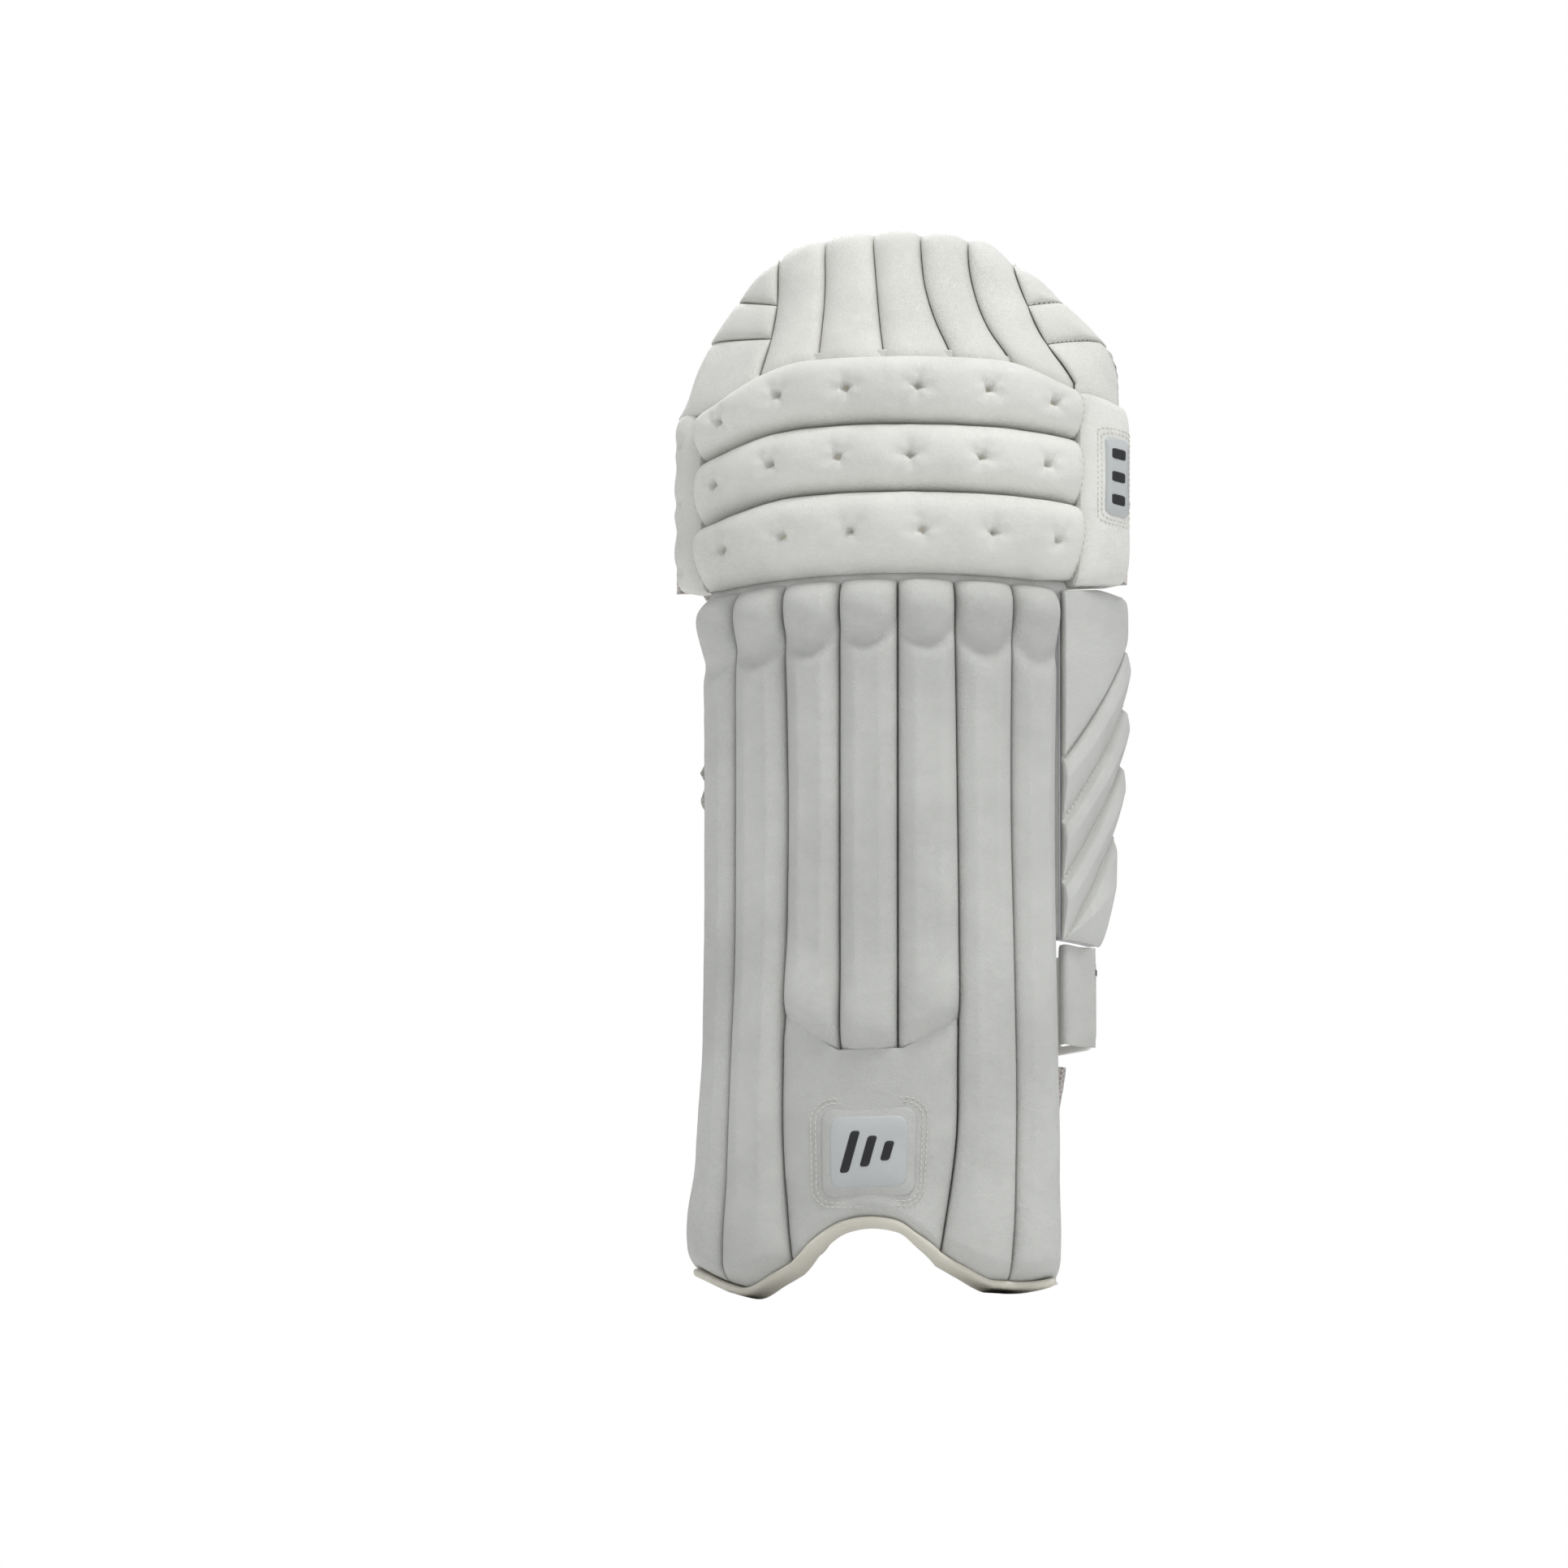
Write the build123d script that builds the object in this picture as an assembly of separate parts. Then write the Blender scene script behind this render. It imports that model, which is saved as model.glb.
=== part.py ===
"""Cricket batting leg pad, adult size, for a left leg.

Row frame: millimetres, +Z up, the front of the pad faces -Y and the side wing is on +X.
The shin shell is a vertical arc about one axis, so most pieces are sectors of a ring round
that axis: a radius range, an angle range and a height range. Angles are in degrees from the
-Y direction, positive towards +X.
"""

from build123d import *
from math import cos, degrees, radians, sin, tan
import os

# ---------------------------------------------------------------- driving dimensions
AXIS_X = -9.133  # shin axis in the row frame
AXIS_Y = 96.91
HEIGHT = 655.0
REACH = 400.0  # longer than the pad in any direction, for cutting tools

# radii of the layers, from the leg outwards
BOLSTER_IN = 109.0
LINING_IN, LINING_OUT = 133.6, 134.8
BACKING_IN, BACKING_OUT = 135.0, 137.0
FRONT_IN = 137.2  # back face of every front pad
CANE_OUT = 158.0
INSTEP_OUT = 153.0
ROLL_OUT = 166.0
SIDE_OUT = 157.0
HAT_OUT = 151.0

# heights
SOLE = 4.0  # thickness of the hem binding under the canes
SHIN_TOP = 431.0
KNEE_BOTTOM = 434.5
ROLL_SEAMS = [434.5, 484.5, 526.0, 567.5]
HAT_BOTTOM = 570.5
KNEE_SIDE_TOP = 549.0
KNEE_HINGE_Y = AXIS_Y - 112.0  # the knee folds back about this line, at the height of its seam
KNEE_FOLD = 10.5  # degrees of room under the back half of the knee section
ARCH_RADIUS, ARCH_TOP, ARCH_X = 80.0, 38.0, AXIS_X - 1.0

# angles
CANE_EDGES = [-46.4, -33.4, -20.05, -6.7, 6.7, 20.05, 33.4, 46.4]
SHIN_EDGE = 50.0
HEM_EDGE = 46.6
STRIP_EDGE = 12.4
CALF_PAD_EDGE = {"outer": 52.0, "inner": 50.0}
ROLL_FROM, ROLL_TO = -45.0, 51.0
KNEE_FROM, KNEE_TO = -54.0, 66.0
SEAM = 0.35  # half of the gap at a sewn seam, in degrees

COVER = 1.6  # thickness of a sewn cover
CALF_COVER = 2.0
CALF_PAD_TOP = 404.0
PANEL_CANES = (2, 3, 4)  # these stop above the instep panel
ROD_FOOT, ROD_FOOT_OVER_PANEL = 56.0, 176.0
FIT = 0.15  # room round a filling
CANE_ROD = 4.0  # radius of the cane in each bolster

# the wing is a second arc that goes on from the shin arc with a smaller radius
WING_RADIUS = 114.0
WING_FROM, WING_TO = 47.6, 77.0
WING_X = AXIS_X + (150.0 - WING_RADIUS) * sin(radians(46.4))
WING_Y = AXIS_Y - (150.0 - WING_RADIUS) * cos(radians(46.4))
WING_BOTTOM, WING_TOP = 218.0, 430.0

LEAN = 28.0  # the top hat leans back from the knee
HAT_BOLSTER_FOOT = [-77.0, -40.0, 0.0, 38.5, 72.0, 103.0]  # x of the top hat's seams
HAT_BOLSTER_HEAD = [-73.0, -43.5, -14.5, 14.0, 42.5, 72.0]

BAR = 1.9  # radius of the bar that a tab or strap loops round
LOOP_FIT = 0.4
TAB_THICK = 2.6
STRAP_THICK = 4.0
RING_THICK, RING_BORDER = 3.0, 4.0
ANCHOR_WIDTH = 15.0
KNEE_RING = (AXIS_X + 137, AXIS_Y - 44)  # plan points of the ring pivots and the straps' roots
CALF_RING = (AXIS_X + 107, AXIS_Y - 59)
ANKLE_RING = (AXIS_X + 122, AXIS_Y - 74)
ANCHOR_RING = (AXIS_X - 65, AXIS_Y - 60)
KNEE_STRAP = (AXIS_X - 117, AXIS_Y - 73)
CALF_STRAP = (AXIS_X - 110, AXIS_Y - 78)
ANKLE_STRAP = (ANCHOR_RING[0] + ANCHOR_WIDTH * cos(radians(2)), ANCHOR_RING[1] + ANCHOR_WIDTH * sin(radians(2)))

OUT = "parts"


# ---------------------------------------------------------------- shape helpers
def at(radius, angle, centre=(AXIS_X, AXIS_Y)):
    """The point at a radius and angle round an upright axis."""
    return (centre[0] + radius * sin(radians(angle)), centre[1] - radius * cos(radians(angle)))


def ring_face(r0, r1, a0, a1, centre=(AXIS_X, AXIS_Y)):
    """A sector of a ring, flat at z = 0."""
    mid = (a0 + a1) / 2
    outline = [
        ThreePointArc(at(r1, a0, centre), at(r1, mid, centre), at(r1, a1, centre)),
        Line(at(r1, a1, centre), at(r0, a1, centre)),
        ThreePointArc(at(r0, a1, centre), at(r0, mid, centre), at(r0, a0, centre)),
        Line(at(r0, a0, centre), at(r1, a0, centre)),
    ]
    return make_face(outline)


def sector(r0, r1, a0, a1, z0, z1, centre=(AXIS_X, AXIS_Y)):
    """A sector of a ring, from z0 up to z1."""
    return extrude(Pos(0, 0, z0) * ring_face(r0, r1, a0, a1, centre), z1 - z0)


def leaning(face, z0, rise):
    """The face at z0, swept up along the top hat's lean until it has risen by rise."""
    way = (0, sin(radians(LEAN)), cos(radians(LEAN)))
    return extrude(Pos(0, 0, z0) * face, rise / cos(radians(LEAN)), dir=way)


def front_block(points):
    """A block with a polygon of (x, z) points as its front view, deep enough to cut anything."""
    face = make_face(Polyline(*[(x, -REACH, z) for x, z in points], close=True))
    return extrude(face, 2 * REACH, dir=(0, 1, 0))


def side_block(points):
    """A block with a polygon of (y, z) points as its side view, deep enough to cut anything."""
    face = make_face(Polyline(*[(-REACH, y, z) for y, z in points], close=True))
    return extrude(face, 2 * REACH, dir=(1, 0, 0))


def bar_along_y(x, z, radius):
    """A long round bar that lies along Y."""
    return Pos(x, 0, z) * Rot(90, 0, 0) * Cylinder(radius, 2 * REACH)


def long_edges(solid, radius, centre=(AXIS_X, AXIS_Y)):
    """The upright edges of a sector at the given radius."""
    def is_on(edge):
        middle = edge.position_at(0.5)
        return abs(((middle.X - centre[0]) ** 2 + (middle.Y - centre[1]) ** 2) ** 0.5 - radius) < 0.05

    return [e for e in solid.edges().filter_by(Axis.Z) if is_on(e)]


def rim_edges(solid, radius):
    """The curved edges of a horizontal roll at the given radius."""
    arcs = solid.edges().filter_by(GeomType.CIRCLE)
    return [e for e in arcs if abs(e.radius - radius) < 0.05 and e.length > 60]


def band(points, thickness, z0, z1):
    """A strip that stands on edge along a smooth curve through plan points."""
    centre_line = Spline(*points) if len(points) > 2 else Line(*points)
    return extrude(Pos(0, 0, z0) * trace(centre_line, line_width=thickness), z1 - z0)


def below(z):
    """Everything under a height."""
    size = 4 * REACH
    return Pos(0, 0, z) * Box(size, size, size, align=(Align.CENTER, Align.CENTER, Align.MAX))


def upright_bar(x, y, radius, z0, z1):
    """A round bar from z0 up to z1."""
    align = (Align.CENTER, Align.CENTER, Align.MIN)
    return Pos(x, y, z0) * Cylinder(radius, z1 - z0, align=align)


def save(name, shape):
    """Writes one node."""
    export_step(Compound(children=shape.solids()), os.path.join(OUT, name + ".step"))


def save_group(name, shapes):
    """Writes several separate solids as one node."""
    save(name, Compound(children=[solid for shape in shapes for solid in shape.solids()]))


# ---------------------------------------------------------------- shin
def arch(extra=0.0):
    """The cut-out over the shoe, grown by extra."""
    return bar_along_y(ARCH_X, ARCH_TOP - ARCH_RADIUS, ARCH_RADIUS + extra)


def above_panel(gap):
    """Everything above the instep panel's pointed top edge, lifted by gap."""
    x = AXIS_X
    line = [(x - 70, 176), (x - 52, 166), (x - 19, 141), (x + 21, 141), (x + 54, 162), (x + 70, 170)]
    return front_block([(px, z + gap) for px, z in line] + [(x + 70, REACH * 2), (x - 70, REACH * 2)])


def rounded_sector(r0, r1, a0, a1, z0, z1, radius, rim):
    """A sector of a ring whose upright edges at one rim are rounded."""
    solid = sector(r0, r1, a0, a1, z0, z1)
    return fillet(long_edges(solid, rim), radius)


def shin_canes():
    """Seven upright bolsters: sewn covers like socks, open at the hidden top, and their fillings."""
    foams, rods = [], []
    side = degrees(COVER / CANE_OUT)
    side_fit = degrees(FIT / CANE_OUT)
    rod_radius = (FRONT_IN + CANE_OUT) / 2
    for k, (a0, a1) in enumerate(zip(CANE_EDGES, CANE_EDGES[1:])):
        a0, a1 = a0 + SEAM, a1 - SEAM
        cover = rounded_sector(FRONT_IN, CANE_OUT, a0, a1, 0, SHIN_TOP, 7, CANE_OUT)
        r0, r1 = FRONT_IN + COVER, CANE_OUT - COVER
        hole = rounded_sector(r0, r1, a0 + side, a1 - side, 0, SHIN_TOP + 1, 6, r1)
        r0, r1 = r0 + FIT, r1 - FIT
        fill = rounded_sector(
            r0, r1, a0 + side + side_fit, a1 - side - side_fit, 0, SHIN_TOP - 0.5, 6, r1
        )
        if k in PANEL_CANES:
            cover = cover & above_panel(0.4)
            hole = hole & above_panel(6)
            fill = fill & above_panel(6.5)
            foot = ROD_FOOT_OVER_PANEL
        else:
            cover = cover - arch(SOLE + 0.5) - below(SOLE + 0.5)
            hole = hole - arch(SOLE + 7) - below(12)
            fill = fill - arch(SOLE + 7.5) - below(12.5)
            foot = ROD_FOOT
        x, y = at(rod_radius, (a0 + a1) / 2)
        rods.append(upright_bar(x, y, CANE_ROD, foot, SHIN_TOP - 12))
        foams.append(fill - upright_bar(x, y, CANE_ROD + FIT, foot, SHIN_TOP))
        save(f"shin_cane_cover_{k + 1}", cover - hole)
    save_group("shin_cane_foams", foams)
    save_group("cane_rods", rods)


def shin_shell():
    """Backing board, lining, instep panel, hem binding, and the bolsters beside the calf."""
    for name, r0, r1 in (("backing", BACKING_IN, BACKING_OUT), ("lining", LINING_IN, LINING_OUT)):
        sheet = sector(r0, r1, -SHIN_EDGE, SHIN_EDGE, SOLE + 0.3, SHIN_TOP)
        save(f"shin_{name}", sheet - arch(SOLE + 0.3))

    first, last = CANE_EDGES[2], CANE_EDGES[5]
    panel = sector(FRONT_IN, INSTEP_OUT, first + SEAM, last - SEAM, 0, 200)
    save("instep_panel", panel - above_panel(0) - arch(SOLE + 0.5))

    whole = sector(LINING_IN, INSTEP_OUT - 1, -HEM_EDGE, HEM_EDGE, 0, ARCH_TOP + 10)
    save("hem_binding", (whole & (arch(SOLE) + below(SOLE))) - arch())

    foams = []
    for name, sign in (("outer", 1), ("inner", -1)):
        a0, a1 = sorted((sign * (STRIP_EDGE + 0.5), sign * CALF_PAD_EDGE[name]))
        side = degrees(CALF_COVER / BOLSTER_IN)
        r0, r1 = BOLSTER_IN, LINING_IN - FIT
        pad = rounded_sector(r0, r1, a0, a1, 30, CALF_PAD_TOP, 9, r0) - arch(SOLE + 1)
        r0, r1 = r0 + CALF_COVER, r1 - CALF_COVER
        hole = rounded_sector(r0, r1, a0 + side, a1 - side, 42, CALF_PAD_TOP + 1, 8, r0)
        r0, r1 = r0 + FIT, r1 - FIT
        foam = rounded_sector(r0, r1, a0 + side + 0.1, a1 - side - 0.1, 42.5, CALF_PAD_TOP - 0.5, 8, r0)
        foams.append(foam - arch(SOLE + 8.5))
        save(f"{name}_calf_bolster", pad - (hole - arch(SOLE + 8)))
    save_group("calf_bolster_foams", foams)
    save("centre_strip", sector(LINING_IN - 5, LINING_IN - FIT, -STRIP_EDGE, STRIP_EDGE, 62, 407))
    save("instep_badge", sector(INSTEP_OUT + FIT, INSTEP_OUT + 1.6, -10.4, 10.4, 56, 108))


# ---------------------------------------------------------------- wing
def wing():
    """Side wing: a curved lined panel with a tapered edge and five slanting bolsters."""
    centre = (WING_X, WING_Y)
    keep = side_block([
        (-REACH, WING_BOTTOM), (AXIS_Y - 73, WING_BOTTOM), (AXIS_Y - 58, 292),
        (AXIS_Y - 44, 372), (AXIS_Y - 44, WING_TOP),
        (-REACH, WING_TOP)
    ])
    panel = sector(WING_RADIUS - 9.4, WING_RADIUS - 3, WING_FROM, WING_TO, 100, 500, centre)
    save("wing_panel", panel & keep)
    cushion = sector(WING_RADIUS - 2.8, WING_RADIUS + 5, WING_FROM, WING_TO, 100, 500, centre)
    cushion = cushion & keep
    front_y, back_y = AXIS_Y - 116, AXIS_Y - 36
    seams = [(305, 413), (266, 376), (227, 346), (184, 320)]  # heights at the front and at the back
    tops = [(600, 600)] + seams
    bottoms = seams + [(0, 0)]
    for k, (top, bottom) in enumerate(zip(tops, bottoms)):
        slant = side_block([
            (front_y, bottom[0] + 0.6),
            (back_y, bottom[1] + 9),
            (back_y, top[1] + 8),
            (front_y, top[0] - 0.6),
        ])
        save(f"wing_bolster_{k + 1}", cushion & slant)


# ---------------------------------------------------------------- knee
def over_fold():
    """The space of the knee section: level at the front, and rising behind its hinge line."""
    z = KNEE_BOTTOM + 1
    rise = tan(radians(KNEE_FOLD + 1)) * REACH
    return side_block([
        (-REACH, z), (KNEE_HINGE_Y, z), (KNEE_HINGE_Y + REACH, z + rise),
        (KNEE_HINGE_Y + REACH, 2 * REACH), (-REACH, 2 * REACH)
    ])


def knee():
    """Three rolls with fillings, the side panels, the backing and the knee cup."""
    foams = []
    skin = 2.0
    names = ["lower", "middle", "upper"]
    for name, z0, z1 in zip(names, ROLL_SEAMS, ROLL_SEAMS[1:]):
        z0, z1 = z0 + 0.3, z1 - 0.3
        roll = sector(FRONT_IN, ROLL_OUT, ROLL_FROM, ROLL_TO, z0, z1)
        roll = fillet(rim_edges(roll, ROLL_OUT), 15)
        r0, r1 = FRONT_IN + skin, ROLL_OUT - skin
        hole = sector(r0, r1, ROLL_FROM - 1, ROLL_TO + 1, z0 + skin, z1 - skin)
        hole = fillet(rim_edges(hole, r1), 13)
        r0, r1, skin_fit = r0 + FIT, r1 - FIT, skin + FIT
        foam = sector(r0, r1, ROLL_FROM + 0.2, ROLL_TO - 0.2, z0 + skin_fit, z1 - skin_fit)
        foams.append(fillet(rim_edges(foam, r1), 13))
        save(f"knee_roll_{name}", roll - hole)
    save_group("knee_roll_foams", foams)

    space = over_fold()
    inner = sector(FRONT_IN, SIDE_OUT, KNEE_FROM, ROLL_FROM - SEAM, KNEE_BOTTOM, KNEE_SIDE_TOP)
    save("knee_side_inner", fillet(long_edges(inner, SIDE_OUT)[:1], 6) & space)
    outer = sector(FRONT_IN, SIDE_OUT, ROLL_TO + SEAM, KNEE_TO, KNEE_BOTTOM, KNEE_SIDE_TOP)
    save("knee_side_outer", fillet(long_edges(outer, SIDE_OUT)[-1:], 6) & space)
    backing = sector(BACKING_IN, BACKING_OUT, KNEE_FROM, KNEE_TO, KNEE_BOTTOM, KNEE_SIDE_TOP)
    middle = sector(BACKING_IN, BACKING_OUT, -30, 40, KNEE_SIDE_TOP - 1, 566)
    save("knee_backing", (backing + middle) & space)

    cup = sector(117, BACKING_IN - 0.2, -21, 21, KNEE_BOTTOM + 2, 557)
    save("knee_cup", fillet(long_edges(cup, 117), 6))
    x = AXIS_X
    hexagon = front_block([
        (x - 18, 462), (x + 12, 462), (x + 21, 500), (x + 12, 530), (x - 14, 530), (x - 22, 492)
    ])
    save("knee_cup_centre", sector(114.8, 116.8, -15, 15, 455, 540) & hexagon)
    save("knee_badge", sector(SIDE_OUT + FIT, SIDE_OUT + 1.6, 55.5, 63, 478, 530))


def knee_flaps():
    """Two padded flaps that hold the knee, each free at its inner edge."""
    outline = {
        "outer": (64, 40, 13.5, [(30, 562), (52, 500), (34, 430)]),
        "inner": (-52, -34, -13.5, [(-30, 562), (-52, 500), (-26, 430)]),
    }
    for name, (root, middle, tip, edge) in outline.items():
        plan = make_face([
            ThreePointArc(at(132, root), at(122, middle), at(111, tip)),
            Line(at(111, tip), at(99, tip)),
            ThreePointArc(at(99, tip), at(109, middle), at(121, root)),
            Line(at(121, root), at(132, root)),
        ])
        flap = extrude(Pos(0, 0, KNEE_BOTTOM) * plan, 130) & over_fold()
        top, waist, foot = [(AXIS_X + x, z) for x, z in edge]
        far = AXIS_X + 200 * (1 if name == "outer" else -1)
        front_view = front_block([(far, foot[1]), foot, waist, top, (far, 536)])
        save(f"knee_flap_{name}", flap & front_view)


# ---------------------------------------------------------------- top hat
def hat_outline():
    """Front view of the top hat as (x, z)."""
    x = AXIS_X
    return [
        (x - 140, 545), (x - 120, 556), (x - 108, 574), (x - 97, 597), (x - 88, 620),
        (x - 66, 642), (x - 32, HEIGHT - 2), (x - 4, HEIGHT), (x + 24, HEIGHT - 1),
        (x + 54, 646), (x + 82, 632), (x + 100, 612), (x + 124, 590), (x + 138, 566),
        (x + 150, 545),
    ]


def top_hat():
    """Five upright bolsters, three pads on each side, a stiffener, and a soft back."""
    keep = front_block(hat_outline())
    slab = leaning(ring_face(FRONT_IN, HAT_OUT, KNEE_FROM, KNEE_TO), HAT_BOTTOM - 10, 110) & keep
    for k in range(5):
        foot0, foot1 = HAT_BOLSTER_FOOT[k] + 0.4, HAT_BOLSTER_FOOT[k + 1] - 0.4
        head0, head1 = HAT_BOLSTER_HEAD[k] + 0.4, HAT_BOLSTER_HEAD[k + 1] - 0.4
        column = front_block([
            (foot0, HAT_BOTTOM), (foot1, HAT_BOTTOM), (head1, HEIGHT + 5), (head0, HEIGHT + 5)
        ])
        save(f"top_hat_bolster_{k + 1}", slab & column)
    left, right = HAT_BOLSTER_FOOT[0] - 0.4, HAT_BOLSTER_FOOT[-1] + 0.4
    left_top, right_top = HAT_BOLSTER_HEAD[0] - 0.4, HAT_BOLSTER_HEAD[-1] + 0.4
    left_side = slab & front_block([
        (-300, 559), (left, HAT_BOTTOM), (left_top, HEIGHT + 5), (-300, HEIGHT + 5)
    ])
    right_side = slab & front_block([
        (right, HAT_BOTTOM), (300, 556), (300, HEIGHT + 5), (right_top, HEIGHT + 5)
    ])
    levels = {"inner": (left_side, [500, 594, 618, 700]), "outer": (right_side, [500, 589, 700])}
    for name, (side, cuts) in levels.items():
        for k, (z0, z1) in enumerate(zip(cuts, cuts[1:])):
            slice_ = front_block([(-300, z0 + 0.3), (300, z0 + 0.3), (300, z1 - 0.3), (-300, z1 - 0.3)])
            save(f"top_hat_{name}_pad_{k + 1}", side & slice_)
    above = front_block([
        (-300, 559), (-60, HAT_BOTTOM), (70, HAT_BOTTOM), (300, 559), (300, 700), (-300, 700)
    ])
    board = leaning(ring_face(BACKING_IN, BACKING_OUT, KNEE_FROM, KNEE_TO), HAT_BOTTOM - 10, 110)
    save("top_hat_stiffener", board & keep & above)
    back = leaning(ring_face(122, BACKING_IN - 0.2, KNEE_FROM, KNEE_TO), HAT_BOTTOM - 10, 110)
    save("top_hat_back", back & keep & above)


# ---------------------------------------------------------------- straps, tabs and rings
def ring(height, width, pivot, heading, z, far_bar_round=False):
    """A moulded strap ring: a round bar in the tab's loop and a flat frame for the strap.

    It hangs from the pivot and points along heading, in degrees from the -X direction.
    """
    frame = Pos(-width / 2, 0, 0) * Box(width, RING_THICK, height)
    slot = Pos(-width / 2, 0, 0) * Box(width, 4 * RING_THICK, height - 2 * RING_BORDER)
    far = Cylinder(BAR, height) if far_bar_round else Box(5.0, RING_THICK, height)
    body = (frame - slot) + Pos(-width, 0, 0) * far + Cylinder(BAR, height)
    return Pos(pivot[0], pivot[1], z) * Rot(0, 0, heading) * body


def loop(pivot, z0, z1):
    """The sewn fold of webbing round a ring's bar."""
    tube = Cylinder(BAR + 2.2, z1 - z0) - Cylinder(BAR + LOOP_FIT, z1 - z0 + 2)
    return Pos(pivot[0], pivot[1], (z0 + z1) / 2) * tube


def tab(points, pivot, z0, z1):
    """A webbing tab from the pad's edge to the loop round its ring's bar."""
    strip = band(points, TAB_THICK, z0, z1) + loop(pivot, z0, z1)
    return strip - upright_bar(*pivot, BAR + LOOP_FIT, 0, 2 * REACH)


def fittings():
    """Tabs and rings."""
    x, y = KNEE_RING
    edge = at(149, KNEE_TO + 0.6)
    save("knee_ring_tab", tab([edge, (x + 4.5, y - 8), (x + 2.2, y - 2)], KNEE_RING, 471, 497))
    save("knee_ring", ring(38, 15, KNEE_RING, -14, 484))
    x, y = CALF_RING
    edge = (WING_X + 108 * sin(radians(77.8)), WING_Y - 108 * cos(radians(77.8)))
    way = [edge, (edge[0] - 5, edge[1] + 3.5), (x + 8, y + 5.5), (x + 1.5, y + 2.5)]
    save("calf_ring_tabs", tab(way, CALF_RING, 338, 366) + tab(way, CALF_RING, 370, 398))
    save("calf_ring", ring(70, 14, CALF_RING, 84, 368))
    x, y = ANKLE_RING
    way = [at(139, 50.7), (AXIS_X + 116, AXIS_Y - 83), (x + 1, y - 3)]
    save("ankle_ring_tab", tab(way, ANKLE_RING, 161, 209))
    save("ankle_ring", ring(60, 26, ANKLE_RING, -32, 185))
    x, y = ANCHOR_RING
    way = [at(138, -50.8), (AXIS_X - 94, AXIS_Y - 64), (x - 2, y - 3)]
    save("ankle_anchor_tab", tab(way, ANCHOR_RING, 121, 171))
    save("ankle_anchor_ring", ring(62, ANCHOR_WIDTH, ANCHOR_RING, 182, 146, far_bar_round=True))


def straps():
    """Three hook-and-loop straps that hang open behind the pad."""
    x, y = CALF_STRAP
    run = [CALF_STRAP, (x + 6, y + 13), (x + 26, y + 20)]
    run += [(x + along, y + 22) for along in (55, 85, 115, 145, 180)]
    cut = front_block([
        (x - 8, 380), (x - 8, 314), (x + 20, 290), (AXIS_X + 28, 170), (AXIS_X + 66, 210),
        (x + 44, 338), (x + 18, 376)
    ])
    save("calf_strap", band(run, STRAP_THICK, 100, 420) & cut)
    patch = front_block([
        (x + 58, 322), (x + 86, 256), (x + 122, 228), (x + 136, 244), (x + 118, 266), (x + 84, 304)
    ])
    on_strap = y + 22 + STRAP_THICK / 2 + 1.2
    save("calf_strap_patch", band([(x + 58, on_strap), (x + 140, on_strap)], 1.2, 150, 400) & patch)

    x, y = KNEE_STRAP
    run = [KNEE_STRAP, (x + 5, y + 14), (x + 24, y + 24), (x + 70, y + 25), (x + 140, y + 24)]
    cut = front_block([
        (x - 8, 499), (x - 8, 466), (x + 14, 436), (AXIS_X - 3, 286), (AXIS_X + 15, 299),
        (x + 32, 462), (x + 10, 499)
    ])
    save("knee_strap", band(run, STRAP_THICK, 200, 540) & cut)

    x, y = ANKLE_STRAP
    run = [(x, y + 3), (x + 10, y + 4.5), (x + 80, y + 6), (x + 168, y + 5)]
    cut = front_block([
        (x - 3, 171), (x - 3, 121), (x + 146, 94), (x + 150, 147), (x + 80, 159)
    ])
    strip = band(run, STRAP_THICK, 40, 220) & cut
    hole = upright_bar(*ANKLE_STRAP, BAR + LOOP_FIT, 0, REACH)
    save("ankle_strap", (strip + loop(ANKLE_STRAP, 122, 170)) - hole)


def main():
    os.makedirs(OUT, exist_ok=True)
    shin_canes()
    shin_shell()
    wing()
    knee()
    knee_flaps()
    top_hat()
    fittings()
    straps()


main()
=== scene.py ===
"""Looks of the cricket leg pad: padded pieces, straps, rings, stitching, materials, light, camera.

Lengths are in millimetres until a mesh is made. Most pieces are laid out round the shin's upright
axis: a radius, an angle from the -Y direction (positive towards +X, in degrees) and a height.
"""

import bmesh
import bpy
import numpy as np
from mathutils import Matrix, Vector


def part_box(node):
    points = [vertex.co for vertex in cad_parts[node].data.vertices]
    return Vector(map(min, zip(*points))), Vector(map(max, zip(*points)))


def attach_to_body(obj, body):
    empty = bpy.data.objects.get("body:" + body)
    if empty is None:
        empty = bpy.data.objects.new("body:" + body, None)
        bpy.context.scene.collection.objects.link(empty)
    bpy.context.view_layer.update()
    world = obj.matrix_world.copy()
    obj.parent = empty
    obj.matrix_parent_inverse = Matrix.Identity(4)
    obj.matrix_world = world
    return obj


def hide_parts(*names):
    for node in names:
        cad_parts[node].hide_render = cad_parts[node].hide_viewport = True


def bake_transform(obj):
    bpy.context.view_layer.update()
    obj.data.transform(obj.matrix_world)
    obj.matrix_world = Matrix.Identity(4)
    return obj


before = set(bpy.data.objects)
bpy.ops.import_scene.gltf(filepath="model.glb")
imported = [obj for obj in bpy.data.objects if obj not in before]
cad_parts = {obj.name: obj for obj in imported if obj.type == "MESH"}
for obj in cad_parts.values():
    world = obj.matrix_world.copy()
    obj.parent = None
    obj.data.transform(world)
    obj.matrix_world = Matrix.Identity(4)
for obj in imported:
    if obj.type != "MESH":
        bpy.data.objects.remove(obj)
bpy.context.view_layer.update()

MM = 0.001
scene = bpy.context.scene

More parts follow.
